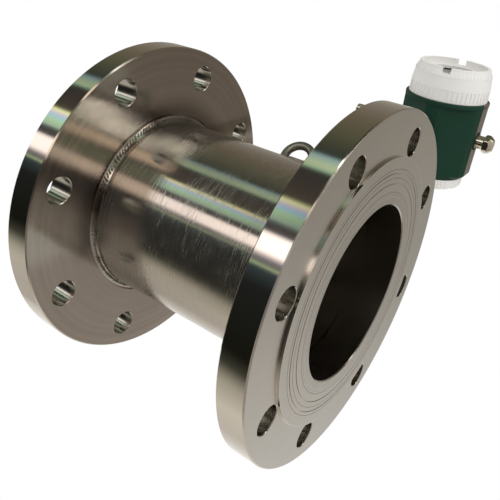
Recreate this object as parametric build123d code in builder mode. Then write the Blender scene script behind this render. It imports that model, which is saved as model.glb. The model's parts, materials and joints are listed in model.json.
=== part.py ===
from build123d import *
from math import radians, tan
import os

# Flanged pipe section: the pipe's axis is X, and the flow runs towards +X
face_to_face = 230.0
bolt_circle = 240.0
bolt_edge_margin = 22.5
bolt_hole = 22.0
bolt_hole_bevel = 0.5
bolt_count = 8
rim_thickness = 22.0
rim_chamfer = 1.0
raised_diameter = 216.0
raised_step = 2.0
groove_radii = (88.0, 96.0)
groove_width = 0.8
groove_depth = 0.6
tube_diameter = 159.0
tube_wall = 8.0
bore_bevel = 0.8
weld_leg = 4.0
weld_throat = 0.42
weld_fit = 0.1

# Shedder bar that stands across the bore, upstream of the probe
bar_front_width = 40.0
bar_tail_width = 14.0
bar_lip = 6.0
bar_length = 36.0
bar_to_stem = 16.0
bar_fit = 0.1

# Sensor seat, probe, gasket and clamp plate on top of the tube
seat_diameter = 78.0
seat_height = 26.0
probe_rod = 22.0
probe_rod_fit = 0.3
probe_flange = 46.0
probe_flange_thickness = 6.0
probe_flange_fit = 0.3
fin_length = 18.0
fin_thickness = 6.0
fin_reach = 34.0
lead_tube = 12.0
lead_tube_rise = 26.0
gasket_thickness = 2.0
gasket_bore = 26.0
plate_thickness = 14.0
plate_corner = 8.0
plate_chamfer = 1.0
plate_bolt_square = 50.0
plate_bolt = 8.0
plate_bolt_clearance = 0.5
plate_bolt_head = 13.0
plate_bolt_head_height = 8.0
plate_bolt_socket = 6.0
plate_bolt_socket_depth = 4.0
plate_bolt_reach = 12.0
plate_bolt_fit = 0.1
plate_bolt_end_gap = 1.0
washer_diameter = 16.0
washer_thickness = 1.6
seat_gap = 0.3

# Neck tube and the swivel union at its top
neck_diameter = 28.0
neck_wall = 3.0
neck_socket_depth = 6.0
neck_fit = 0.1
neck_weld_leg = 4.0
union_diameter = 36.0
union_height = 14.0
union_flange_chamfer = 1.5
spigot_diameter = 24.0
spigot_length = 20.0
spigot_chamfer = 1.0
swivel_fit = 0.06
swivel_gap = 0.3
wire_bore = 14.0

# Lifting lugs, bent from round bar
lug_angle = 45.0
lug_offset = 9.5
lug_bar = 7.5
lug_inner_width = 19.0
lug_reach = 24.5

# Transmitter housing: its covers' axis is parallel to Y, and the display faces -Y
head_height = 493.0
body_front = 54.0
body_rear = 59.5
body_half_width = 58.0
body_half_height = 58.5
pad_half_height = 14.0
shoulder_out = 54.0
shoulder_up = 26.0
keel_half = 9.0
body_draft = 0.5
body_edge_round = 3.0
body_rear_chamfer = 6.5
lip_radius = 60.0
lip_thickness = 5.0
lip_chamfer = 0.8
rear_lip_radius = 51.5
rear_lip_thickness = 8.0
front_spigot_radius = 51.0
front_spigot_length = 18.0
rear_spigot_radius = 47.5
rear_spigot_length = 9.5
front_chamber_radius = 46.0
rear_chamber_radius = 42.0
bulkhead_front = 14.0
bulkhead_thickness = 6.0
bulkhead_hole = 12.0
neck_boss_radius = 17.0
neck_boss_depth = 16.0
neck_boss_draft = 3.0
neck_boss_round = 1.5
lock_screw_diameter = 5.0
lock_screw_fit = 0.05
lock_screw_rise = 8.0
lock_screw_length = 6.0
lock_screw_socket = 2.5
lock_screw_socket_depth = 3.0
cover_fit = 0.3
cover_gap = 0.4
seal_section = 2.4
seal_inset = 3.6
seal_play = 0.4
seal_fit = 0.05

# Front cover with its window
front_cover_length = 45.0
front_cover_turn = -5.0
front_skirt_radius = 56.0
front_skirt_taper = 0.3
front_band_length = 17.5
front_shoulder_radius = 53.4
front_bevel_length = 8.0
front_crown_radius = 50.0
crown_rim_length = 3.0
crown_chamfer = 0.8
crown_wall = 5.5
crown_depth = 9.5
crown_notch_width = 12.0
crown_notch_depth = 8.5
window_ledge = 4.0
window_opening_radius = 36.0
window_radius = 41.0
window_thickness = 8.0
window_fit = 0.2
window_chamfer = 0.6
window_seal_thickness = 1.0
retainer_radius = 46.0
retainer_bore_radius = 37.0
retainer_thickness = 4.0
retainer_slot = 5.0
retainer_slot_depth = 2.0
retainer_slot_count = 4
rib_count = 54
rib_gap = 3.3
rib_height = 0.9
rib_lip = 2.2
rib_border = 1.2
rib_blank_half_angle = 12.0
blank_width = 22.0
tooth_count = 60
tooth_gap = 3.0
tooth_height = 0.8

# Rear cover
rear_cover_length = 15.5
rear_cover_turn = -65.0
rear_cover_radius = 51.5
rear_skirt_taper = 0.5
rear_crown_round = 3.5
rear_crown_step = 1.2
rear_cover_roof = 5.0
rear_recess_radius = 40.0
rear_recess_depth = 2.5
rear_recess_slope = 1.0
rear_notch_width = 8.0
rear_notch_depth = 2.5
rear_rib_height = 0.5
rear_rib_border = 3.0

# Circuit boards, display and keys in the front chamber
board_radius = 42.0
board_thickness = 1.6
board_post_spacing = 52.0
board_post_diameter = 5.0
board_post_bore = 2.5
board_post_clearance = 1.0
power_board_standoff = 14.0
main_board_standoff = 12.0
display_board_standoff = 17.0
bezel_thickness = 6.0
bezel_radius = 42.0
bezel_wall = 2.0
lcd_width = 50.0
lcd_height = 28.0
lcd_rise = 6.0
lcd_frame = 2.0
key_count = 3
key_pitch = 17.0
key_diameter = 8.0
key_drop = 22.0
key_travel = 1.0
key_proud = 2.0
key_collar = 1.0
key_fit = 0.3
key_chamfer = 0.6
chip_size = 12.0
chip_height = 1.6
chip_drop = 18.0
capacitor_diameter = 10.0
capacitor_height = 9.0
capacitor_count = 3
screw_diameter = 3.0
screw_head = 5.5
screw_head_height = 2.0
screw_slot = 0.8
screw_slot_depth = 1.0
screw_fit = 0.05
screw_clearance = 0.2

# Terminal block in the rear chamber
terminal_width = 46.0
terminal_depth = 14.0
terminal_height = 18.0
terminal_step = 6.0
terminal_count = 4
terminal_pitch = 10.0
terminal_wall = 2.0
terminal_screw_fit = 0.1
terminal_screw_head = 6.0
terminal_drop = 14.0

# Cable entries in the housing's two side pads
entry_bore = 20.0
entry_offset = 0.5
entry_fit = 0.08
spot_face_depth = 0.3
spot_face_margin = 1.0
entry_engagement = 9.0
plug_neck_diameter = 19.0
plug_neck_length = 10.5
plug_hex = 24.0
plug_hex_length = 8.0
plug_dome_length = 4.5
plug_dome_inset = 3.5
plug_bevel = 1.5
plug_washer_diameter = 26.0
plug_washer_thickness = 1.5
gland_hex = 27.0
gland_hex_length = 12.0
gland_barrel = 23.0
gland_barrel_length = 12.0
gland_bore = 15.0
gland_nut_hex = 26.0
gland_nut_length = 24.0
gland_nut_gap = 1.0
gland_nut_bevel = 2.0
gland_nut_cone = 6.0
gland_tail = 15.0
gland_tail_length = 40.0
gland_tail_chamfer = 1.0
gland_tail_bore = 10.0
gland_seal_bore = 9.0
gland_seal_length = 12.0
gland_seal_fit = 0.3

# Sides of a hexagon, how far cuts run past a face, and how closely round edges are picked
hex_sides = 6
overcut = 1.0
pick_tolerance = 0.01

half_length = face_to_face / 2
flange_radius = bolt_circle / 2 + bolt_edge_margin
tube_radius = tube_diameter / 2
bore_radius = tube_radius - tube_wall
raised_radius = raised_diameter / 2
rim_face = half_length - raised_step
rim_back = rim_face - rim_thickness
seat_top = tube_radius + seat_height
probe_seat = seat_top - probe_flange_thickness - gasket_thickness
plate_bottom = seat_top + seat_gap
plate_top = plate_bottom + plate_thickness
boss_bottom = head_height - body_half_height - neck_boss_depth
union_top = boss_bottom - swivel_gap
union_bottom = union_top - union_height
body_length = body_front + body_rear
spigot_end = body_front + front_spigot_length
lip_back = lip_thickness - body_front
pad_lean = tan(radians(body_draft))
pad_face = body_half_width - (entry_offset - lip_back) * pad_lean - spot_face_depth
head_axis = Axis((0, 0, head_height), (0, 1, 0))
head_plane = Plane.XY.offset(head_height)
entry_axis = Axis((0, entry_offset, head_height), (1, 0, 0))
entry_section = Plane(origin=(0, entry_offset, head_height), z_dir=(0, 0, 1))


def across_plane(y):
    """Plane square to the covers' axis at a place along Y, looking back towards +Y."""
    return Plane(origin=(0, y, head_height), x_dir=(-1, 0, 0), z_dir=(0, 1, 0))


def side_plane(x, facing):
    """Plane square to X on a cable entry's axis, with its normal outwards."""
    return Plane(origin=(x, entry_offset, head_height), x_dir=(0, 1, 0), z_dir=(facing, 0, 0))


lock_screw_tip = spigot_diameter / 2 + swivel_gap
lock_screw_plane = Plane(
    origin=(0, lock_screw_tip, boss_bottom + lock_screw_rise), x_dir=(1, 0, 0), z_dir=(0, 1, 0)
)

# Tube
with BuildPart() as meter_tube:
    with BuildSketch(Plane.YZ.offset(-half_length)):
        Circle(tube_radius)
        Circle(bore_radius, mode=Mode.SUBTRACT)
    extrude(amount=face_to_face)
    circles = meter_tube.edges().filter_by(GeomType.CIRCLE)
    chamfer(circles.filter_by(lambda e: e.radius < bore_radius + pick_tolerance), bore_bevel)
    with BuildSketch(Plane.XY):
        Circle(probe_rod / 2 + probe_rod_fit)
    extrude(amount=tube_radius + overcut, mode=Mode.SUBTRACT)


def flange(side):
    """Plate flange with a raised face, gasket grooves and a ring of bolt holes."""
    with BuildPart() as made:
        with BuildSketch(Plane.XY):
            with BuildLine():
                Polyline(
                    (side * rim_back, tube_radius + weld_fit),
                    (side * rim_back, flange_radius),
                    (side * rim_face, flange_radius),
                    (side * rim_face, raised_radius),
                    (side * half_length, raised_radius),
                    (side * half_length, tube_radius + weld_fit),
                    close=True,
                )
            make_face()
            for radius in groove_radii:
                with Locations((side * half_length, radius)):
                    Rectangle(2 * groove_depth, groove_width, mode=Mode.SUBTRACT)
        revolve(axis=Axis.X)
        circles = made.edges().filter_by(GeomType.CIRCLE)
        chamfer(circles.filter_by(lambda e: e.radius > flange_radius - pick_tolerance), rim_chamfer)
        with BuildSketch(Plane.YZ.offset(side * rim_back)):
            with PolarLocations(bolt_circle / 2, bolt_count, start_angle=180 / bolt_count):
                Circle(bolt_hole / 2)
        extrude(amount=side * (rim_thickness + raised_step), mode=Mode.SUBTRACT)
        circles = made.edges().filter_by(GeomType.CIRCLE)
        mouths = circles.filter_by(lambda e: abs(e.radius - bolt_hole / 2) < pick_tolerance)
        chamfer(mouths, bolt_hole_bevel)
    return made


inlet_flange = flange(-1)
outlet_flange = flange(1)


def weld_bead(side):
    """Fillet weld between the tube and the back of a flange."""
    with BuildPart() as made:
        with BuildSketch(Plane.XY):
            with BuildLine():
                throat = weld_throat * weld_leg
                foot = (side * rim_back, tube_radius)
                toe = (side * (rim_back - weld_leg), tube_radius)
                top = (side * rim_back, tube_radius + weld_leg)
                Line(foot, toe)
                ThreePointArc(toe, (side * (rim_back - throat), tube_radius + throat), top)
                Line(top, foot)
            make_face()
        revolve(axis=Axis.X)
    return made


inlet_weld = weld_bead(-1)
outlet_weld = weld_bead(1)

# Shedder bar: a blunt face upstream and a body that narrows downstream
bar_end = -bar_to_stem
bar_start = bar_end - bar_length
with BuildPart() as shedder_bar:
    with BuildSketch(Plane.XY.offset(-bore_radius)):
        with BuildLine():
            Polyline(
                (bar_start, -bar_front_width / 2),
                (bar_start, bar_front_width / 2),
                (bar_start + bar_lip, bar_front_width / 2),
                (bar_end, bar_tail_width / 2),
                (bar_end, -bar_tail_width / 2),
                (bar_start + bar_lip, -bar_front_width / 2),
                close=True,
            )
        make_face()
    extrude(amount=2 * bore_radius)
    with BuildSketch(Plane.YZ.offset(bar_start)):
        Circle(bore_radius - bar_fit)
    extrude(amount=bar_length, mode=Mode.INTERSECT)

# Seat welded on top of the tube, bored for the probe
with BuildPart() as sensor_seat:
    with BuildSketch(Plane.XY):
        Circle(seat_diameter / 2)
    extrude(amount=seat_top)
    chamfer(sensor_seat.faces().sort_by(Axis.Z)[-1].edges(), plate_chamfer)
    with BuildSketch(Plane.YZ.offset(-seat_diameter)):
        Circle(tube_radius)
    extrude(amount=2 * seat_diameter, mode=Mode.SUBTRACT)
    with BuildSketch(Plane.XY):
        Circle(probe_rod / 2 + probe_rod_fit)
    extrude(amount=seat_top, mode=Mode.SUBTRACT)
    with BuildSketch(Plane.XY.offset(probe_seat)):
        Circle(probe_flange / 2 + probe_flange_fit)
    extrude(amount=seat_top, mode=Mode.SUBTRACT)
    with BuildSketch(Plane.XY.offset(seat_top - plate_bolt_reach)):
        with GridLocations(plate_bolt_square, plate_bolt_square, 2, 2):
            Circle(plate_bolt / 2)
    extrude(amount=plate_bolt_reach, mode=Mode.SUBTRACT)

# Probe gasket
with BuildPart() as probe_gasket:
    with BuildSketch(Plane.XY.offset(probe_seat)):
        Circle(probe_flange / 2)
        Circle(gasket_bore / 2, mode=Mode.SUBTRACT)
    extrude(amount=gasket_thickness)

# Probe: fin in the stream, rod, sealing flange and lead tube
fin_bottom = bore_radius - fin_reach
with BuildPart() as sensor_probe:
    with BuildSketch(Plane.XY.offset(fin_bottom)):
        SlotOverall(fin_length, fin_thickness)
    extrude(amount=fin_reach)
    with BuildSketch(Plane.XY.offset(bore_radius)):
        Circle(probe_rod / 2)
    extrude(amount=seat_top - bore_radius)
    with BuildSketch(Plane.XY.offset(seat_top - probe_flange_thickness)):
        Circle(probe_flange / 2)
    extrude(amount=probe_flange_thickness)
    with BuildSketch(Plane.XY.offset(seat_top)):
        Circle(lead_tube / 2)
    extrude(amount=lead_tube_rise)

# Clamp plate, socketed for the neck
plate_side = plate_bolt_square + 2 * plate_bolt_head
with BuildPart() as clamp_plate:
    with BuildSketch(Plane.XY.offset(plate_bottom)):
        RectangleRounded(plate_side, plate_side, plate_corner)
        Circle(gasket_bore / 2, mode=Mode.SUBTRACT)
        with GridLocations(plate_bolt_square, plate_bolt_square, 2, 2):
            Circle(plate_bolt / 2 + plate_bolt_clearance, mode=Mode.SUBTRACT)
    extrude(amount=plate_thickness)
    chamfer(clamp_plate.faces().sort_by(Axis.Z)[-1].outer_wire().edges(), plate_chamfer)
    with BuildSketch(Plane.XY.offset(plate_top - neck_socket_depth)):
        Circle(neck_diameter / 2 + neck_fit)
    extrude(amount=neck_socket_depth, mode=Mode.SUBTRACT)

with BuildPart() as clamp_washers:
    with BuildSketch(Plane.XY.offset(plate_top)):
        with GridLocations(plate_bolt_square, plate_bolt_square, 2, 2):
            Circle(washer_diameter / 2)
            Circle(plate_bolt / 2 + plate_bolt_clearance, mode=Mode.SUBTRACT)
    extrude(amount=washer_thickness)

bolt_seat = plate_top + washer_thickness
with BuildPart() as clamp_bolts:
    with BuildSketch(Plane.XY.offset(bolt_seat)):
        with GridLocations(plate_bolt_square, plate_bolt_square, 2, 2):
            Circle(plate_bolt_head / 2)
    extrude(amount=plate_bolt_head_height)
    chamfer(clamp_bolts.faces().group_by(Axis.Z)[-1].edges(), plate_chamfer / 2)
    with BuildSketch(Plane.XY.offset(bolt_seat + plate_bolt_head_height - plate_bolt_socket_depth)):
        with GridLocations(plate_bolt_square, plate_bolt_square, 2, 2):
            RegularPolygon(plate_bolt_socket / 2, hex_sides, major_radius=False)
    extrude(amount=plate_bolt_socket_depth, mode=Mode.SUBTRACT)
    with BuildSketch(Plane.XY.offset(bolt_seat)):
        with GridLocations(plate_bolt_square, plate_bolt_square, 2, 2):
            Circle(plate_bolt / 2 - plate_bolt_fit)
    extrude(amount=-(bolt_seat - seat_top + plate_bolt_reach - plate_bolt_end_gap))

# Neck tube and the weld ring at its foot
neck_bottom = plate_top - neck_socket_depth
neck_top = union_bottom + neck_socket_depth
with BuildPart() as neck_tube:
    with BuildSketch(Plane.XY.offset(neck_bottom)):
        Circle(neck_diameter / 2)
        Circle(neck_diameter / 2 - neck_wall, mode=Mode.SUBTRACT)
    extrude(amount=neck_top - neck_bottom)

with BuildPart() as neck_weld:
    with BuildSketch(Plane.XZ):
        with BuildLine():
            Polyline(
                (neck_diameter / 2, plate_top),
                (neck_diameter / 2 + neck_weld_leg, plate_top),
                (neck_diameter / 2, plate_top + neck_weld_leg),
                close=True,
            )
        make_face()
    revolve(axis=Axis.Z)

# Swivel union: the housing turns on its spigot
with BuildPart() as neck_union:
    with BuildSketch(Plane.XY.offset(union_bottom)):
        Circle(union_diameter / 2)
    extrude(amount=union_height)
    chamfer(neck_union.edges().filter_by(GeomType.CIRCLE), union_flange_chamfer)
    with BuildSketch(Plane.XY.offset(union_top)):
        Circle(spigot_diameter / 2)
    extrude(amount=spigot_length)
    chamfer(neck_union.faces().sort_by(Axis.Z)[-1].edges(), spigot_chamfer)
    with BuildSketch(Plane.XY.offset(union_bottom)):
        Circle(wire_bore / 2)
    extrude(amount=union_height + spigot_length, mode=Mode.SUBTRACT)
    with BuildSketch(Plane.XY.offset(union_bottom)):
        Circle(neck_diameter / 2 + neck_fit)
    extrude(amount=neck_socket_depth, mode=Mode.SUBTRACT)


def lifting_lug(lean):
    """Round bar bent to a U and welded to the tube, leaning from the stem by an angle about X."""
    radial = Vector(0, 0, 1).rotate(Axis.X, lean)
    upright = Plane(origin=(lug_offset, 0, 0), x_dir=(1, 0, 0), z_dir=Vector(1, 0, 0).cross(radial))
    half_width = (lug_inner_width + lug_bar) / 2
    foot = tube_radius - overcut
    bend = tube_radius + lug_reach - lug_bar / 2 - half_width
    with BuildPart() as made:
        with BuildLine(upright) as route:
            Line((-half_width, foot), (-half_width, bend))
            ThreePointArc((-half_width, bend), (0, bend + half_width), (half_width, bend))
            Line((half_width, bend), (half_width, foot))
        with BuildSketch(Plane(origin=route.line @ 0, z_dir=route.line % 0)):
            Circle(lug_bar / 2)
        sweep()
        with BuildSketch(Plane.YZ.offset(lug_offset - lug_inner_width)):
            Circle(tube_radius)
        extrude(amount=2 * lug_inner_width, mode=Mode.SUBTRACT)
    return made


front_lifting_lug = lifting_lug(lug_angle)
rear_lifting_lug = lifting_lug(-lug_angle)

# Housing: a cast body with faceted flanks, bare side pads and two round chambers
corner_points = [
    (keel_half, body_half_height),
    (shoulder_out, shoulder_up),
    (body_half_width, pad_half_height),
]
outline = (
    corner_points
    + [(x, -z) for x, z in reversed(corner_points)]
    + [(-x, -z) for x, z in corner_points]
    + [(-x, z) for x, z in reversed(corner_points)]
)
with BuildPart() as housing_body:
    with BuildSketch(across_plane(lip_back)):
        with BuildLine():
            Polyline(*outline, close=True)
        make_face()
    extrude(amount=body_length - lip_thickness, taper=body_draft)
    chamfer(housing_body.faces().sort_by(Axis.Y)[-1].edges(), body_rear_chamfer)
    flank_edges = housing_body.edges().filter_by(lambda e: e.length > body_length / 2)
    fillet(flank_edges, body_edge_round)
    with BuildSketch(Plane.XY.offset(boss_bottom)):
        Circle(neck_boss_radius)
    extrude(amount=neck_boss_depth + shoulder_up / 2, taper=-neck_boss_draft)
    fillet(housing_body.faces().sort_by(Axis.Z)[0].edges(), neck_boss_round)
    with BuildSketch(head_plane):
        with BuildLine():
            groove_front = -body_front - seal_inset
            groove_back = groove_front + seal_section + seal_play
            groove_floor = front_spigot_radius - seal_section
            Polyline(
                (0, -spigot_end),
                (front_spigot_radius - spigot_chamfer, -spigot_end),
                (front_spigot_radius, -spigot_end + spigot_chamfer),
                (front_spigot_radius, groove_front),
                (groove_floor, groove_front),
                (groove_floor, groove_back),
                (front_spigot_radius, groove_back),
                (front_spigot_radius, -body_front),
                (lip_radius - lip_chamfer, -body_front),
                (lip_radius, -body_front + lip_chamfer),
                (lip_radius, lip_back),
                (front_spigot_radius, lip_back),
                (front_spigot_radius, 0),
                (0, 0),
                close=True,
            )
        make_face()
        with BuildLine():
            rear_front = body_rear + seal_inset - seal_section - seal_play
            rear_back = body_rear + seal_inset
            rear_floor = rear_spigot_radius - seal_section
            rear_end = body_rear + rear_spigot_length
            Polyline(
                (0, 0),
                (rear_spigot_radius, 0),
                (rear_spigot_radius, body_rear - rear_lip_thickness),
                (rear_lip_radius, body_rear - rear_lip_thickness),
                (rear_lip_radius, body_rear),
                (rear_spigot_radius, body_rear),
                (rear_spigot_radius, rear_front),
                (rear_floor, rear_front),
                (rear_floor, rear_back),
                (rear_spigot_radius, rear_back),
                (rear_spigot_radius, rear_end - spigot_chamfer),
                (rear_spigot_radius - spigot_chamfer, rear_end),
                (0, rear_end),
                close=True,
            )
        make_face()
    revolve(axis=head_axis)
    with BuildSketch(across_plane(-spigot_end)):
        Circle(front_chamber_radius)
    extrude(amount=spigot_end - bulkhead_front, mode=Mode.SUBTRACT)
    with BuildSketch(across_plane(-bulkhead_front + bulkhead_thickness)):
        Circle(rear_chamber_radius)
    extrude(amount=body_length + rear_spigot_length, mode=Mode.SUBTRACT)
    with BuildSketch(across_plane(-bulkhead_front)):
        with Locations((0, -rear_chamber_radius / 2)):
            Circle(bulkhead_hole / 2)
    extrude(amount=bulkhead_thickness, mode=Mode.SUBTRACT)
    with BuildSketch(Plane.XY.offset(boss_bottom)):
        Circle(spigot_diameter / 2 + swivel_fit)
    extrude(amount=spigot_length + swivel_gap, mode=Mode.SUBTRACT)
    with BuildSketch(Plane.XY.offset(boss_bottom)):
        Circle(wire_bore / 2)
    extrude(amount=head_height - boss_bottom - rear_chamber_radius / 2, mode=Mode.SUBTRACT)
    with BuildSketch(side_plane(-body_length, 1)):
        Circle(entry_bore / 2)
    extrude(amount=2 * body_length, mode=Mode.SUBTRACT)
    for facing in (-1, 1):
        with BuildSketch(side_plane(facing * pad_face, facing)):
            Circle(plug_washer_diameter / 2 + spot_face_margin)
        extrude(amount=body_half_width, mode=Mode.SUBTRACT)
    with BuildSketch(lock_screw_plane):
        Circle(lock_screw_diameter / 2)
    extrude(amount=2 * neck_boss_radius, mode=Mode.SUBTRACT)


# Set screw that stops the housing from turning on its spigot
with BuildPart() as swivel_lock_screw:
    with BuildSketch(lock_screw_plane):
        Circle(lock_screw_diameter / 2 - lock_screw_fit)
    extrude(amount=lock_screw_length)
    with BuildSketch(lock_screw_plane.offset(lock_screw_length - lock_screw_socket_depth)):
        RegularPolygon(lock_screw_socket / 2, hex_sides, major_radius=False)
    extrude(amount=lock_screw_socket_depth, mode=Mode.SUBTRACT)


def cover_seal(radius, y):
    """Round rubber ring in a spigot's groove."""
    with BuildPart() as made:
        with BuildSketch(head_plane):
            with Locations((radius - seal_section / 2, y)):
                Circle(seal_section / 2 - seal_fit)
        revolve(axis=head_axis)
    return made


seal_middle = seal_inset - (seal_section + seal_play) / 2
front_cover_seal = cover_seal(front_spigot_radius, -body_front - seal_middle)
rear_cover_seal = cover_seal(rear_spigot_radius, body_rear + seal_middle)


def pocket_angles(turn):
    """Angles of the small pockets between a cover's ribs, clear of two wide ones."""
    steps = [360 * index / rib_count for index in range(rib_count)]
    return [turn + step for step in steps if min(abs(step - 90), abs(step - 270)) > rib_blank_half_angle]


# Front cover: ribbed skirt, toothed bevel and a notched crown round the window
skirt_edge = -body_front - cover_gap
crown_edge = skirt_edge - front_cover_length
rim_back_edge = crown_edge + crown_rim_length
recess_floor = crown_edge + crown_depth
ledge_back = recess_floor + window_ledge
seal_back = ledge_back + window_seal_thickness
window_back = seal_back + window_thickness
cover_step = -spigot_end - cover_gap
band_end = skirt_edge - front_band_length
bevel_start = rim_back_edge + front_bevel_length
with BuildPart() as bevel_teeth:
    with BuildSketch(head_plane):
        with BuildLine():
            Polyline(
                (front_crown_radius - overcut, rim_back_edge),
                (front_crown_radius, rim_back_edge),
                (front_shoulder_radius + tooth_height, bevel_start),
                (front_shoulder_radius - overcut, bevel_start),
                close=True,
            )
        make_face()
    revolve(axis=head_axis)
    with BuildSketch(across_plane(rim_back_edge)):
        with PolarLocations(front_shoulder_radius, tooth_count):
            Rectangle(front_bevel_length, tooth_gap)
    extrude(amount=front_bevel_length, mode=Mode.SUBTRACT)

with BuildPart() as front_cover:
    with BuildSketch(head_plane):
        with BuildLine():
            Polyline(
                (front_spigot_radius + cover_fit, skirt_edge),
                (front_skirt_radius, skirt_edge),
                (front_skirt_radius - front_skirt_taper, band_end),
                (front_shoulder_radius, bevel_start),
                (front_crown_radius, rim_back_edge),
                (front_crown_radius - crown_chamfer / 2, crown_edge + crown_chamfer / 2),
                (front_crown_radius - crown_chamfer, crown_edge),
                (front_crown_radius - crown_wall, crown_edge),
                (front_crown_radius - crown_wall, recess_floor),
                (window_opening_radius, recess_floor),
                (window_opening_radius, ledge_back),
                (retainer_radius + window_fit, ledge_back),
                (retainer_radius + window_fit, cover_step),
                (front_spigot_radius + cover_fit, cover_step),
                close=True,
            )
        make_face()
    revolve(axis=head_axis)
    add(bevel_teeth.part)
    with BuildSketch(across_plane(crown_edge)):
        Rectangle(crown_notch_width, 2 * front_skirt_radius, rotation=front_cover_turn)
        Circle(window_opening_radius + overcut, mode=Mode.SUBTRACT)
    extrude(amount=crown_notch_depth, mode=Mode.SUBTRACT)
    with BuildSketch(across_plane(band_end + rib_border)):
        for angle in pocket_angles(front_cover_turn):
            with PolarLocations(front_skirt_radius, 1, start_angle=angle):
                Rectangle(2 * rib_height, rib_gap)
    extrude(amount=front_band_length - rib_border - rib_lip, mode=Mode.SUBTRACT)
    with BuildSketch(across_plane(band_end + rib_border)):
        Rectangle(blank_width, 2 * front_skirt_radius + overcut, rotation=front_cover_turn)
        Circle(front_skirt_radius - rib_height, mode=Mode.SUBTRACT)
    extrude(amount=front_band_length - rib_border - rib_lip, mode=Mode.SUBTRACT)

with BuildPart() as window_seal:
    with BuildSketch(across_plane(ledge_back)):
        Circle(window_radius)
        Circle(window_opening_radius, mode=Mode.SUBTRACT)
    extrude(amount=window_seal_thickness)

with BuildPart() as window_glass:
    with BuildSketch(across_plane(seal_back)):
        Circle(window_radius)
    extrude(amount=window_thickness)
    chamfer(window_glass.edges(), window_chamfer)

with BuildPart() as window_retainer:
    with BuildSketch(across_plane(window_back)):
        Circle(retainer_radius)
        Circle(retainer_bore_radius, mode=Mode.SUBTRACT)
    extrude(amount=retainer_thickness)
    with BuildSketch(across_plane(window_back + retainer_thickness - retainer_slot_depth)):
        with PolarLocations(retainer_radius, retainer_slot_count):
            Rectangle(2 * (retainer_radius - retainer_bore_radius) - 2 * overcut, retainer_slot)
    extrude(amount=retainer_slot_depth, mode=Mode.SUBTRACT)

# Rear cover: a shallow ribbed cap with a notched edge
rear_skirt_edge = body_rear + cover_gap
rear_crown_edge = rear_skirt_edge + rear_cover_length
rear_roof = rear_crown_edge - rear_cover_roof
with BuildPart() as rear_cover:
    with BuildSketch(head_plane):
        with BuildLine():
            shoulder = rear_cover_radius - rear_skirt_taper
            Polyline(
                (rear_spigot_radius + cover_fit, rear_skirt_edge),
                (rear_cover_radius, rear_skirt_edge),
                (shoulder, rear_crown_edge - rear_crown_round),
                (shoulder - rear_crown_step, rear_crown_edge - rear_crown_step),
                (shoulder - rear_crown_round, rear_crown_edge),
                (rear_recess_radius, rear_crown_edge),
                (rear_recess_radius - rear_recess_slope, rear_crown_edge - rear_recess_depth),
                (0, rear_crown_edge - rear_recess_depth),
                (0, rear_roof),
                (rear_spigot_radius + cover_fit, rear_roof),
                close=True,
            )
        make_face()
    revolve(axis=head_axis)
    with BuildSketch(across_plane(rear_crown_edge - rear_notch_depth)):
        Rectangle(rear_notch_width, 2 * rear_cover_radius + overcut, rotation=rear_cover_turn)
        Circle(rear_recess_radius - overcut, mode=Mode.SUBTRACT)
    extrude(amount=rear_notch_depth, mode=Mode.SUBTRACT)
    with BuildSketch(across_plane(rear_skirt_edge + rib_lip)):
        for angle in pocket_angles(rear_cover_turn):
            with PolarLocations(rear_cover_radius, 1, start_angle=angle):
                Rectangle(2 * (rear_skirt_taper + rear_rib_height), rib_gap)
    extrude(amount=rear_cover_length - rib_lip - rear_rib_border, mode=Mode.SUBTRACT)

# Three round boards stacked on posts from the bulkhead, the front one under the bezel
power_board_back = -bulkhead_front - power_board_standoff
main_board_back = power_board_back - board_thickness - main_board_standoff
display_board_back = main_board_back - board_thickness - display_board_standoff
bezel_back = display_board_back - board_thickness
bezel_front = bezel_back - bezel_thickness


def board(back):
    """Round circuit board with four post holes, its back face at a place along Y."""
    with BuildPart() as made:
        with BuildSketch(across_plane(back - board_thickness)):
            Circle(board_radius)
            with GridLocations(board_post_spacing, board_post_spacing, 2, 2):
                Circle(screw_diameter / 2 + screw_clearance, mode=Mode.SUBTRACT)
        extrude(amount=board_thickness)
    return made


power_board = board(power_board_back)
main_board = board(main_board_back)
display_board = board(display_board_back)

with BuildPart() as board_posts:
    for back, length in (
        (-bulkhead_front, power_board_standoff),
        (power_board_back - board_thickness, main_board_standoff),
        (main_board_back - board_thickness, display_board_standoff),
    ):
        with BuildSketch(across_plane(back - length)):
            with GridLocations(board_post_spacing, board_post_spacing, 2, 2):
                RegularPolygon(board_post_diameter / 2, hex_sides, major_radius=False)
                Circle(board_post_bore / 2, mode=Mode.SUBTRACT)
        extrude(amount=length)

with BuildPart() as board_components:
    with BuildSketch(across_plane(main_board_back - board_thickness - chip_height)):
        with Locations((-chip_size, 0), (chip_size, chip_size / 2), (0, -chip_drop)):
            Rectangle(chip_size, chip_size)
    extrude(amount=chip_height)
    with BuildSketch(across_plane(power_board_back - board_thickness - capacitor_height)):
        with GridLocations(2 * capacitor_diameter, 0, capacitor_count, 1):
            Circle(capacitor_diameter / 2)
    extrude(amount=capacitor_height)

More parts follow.
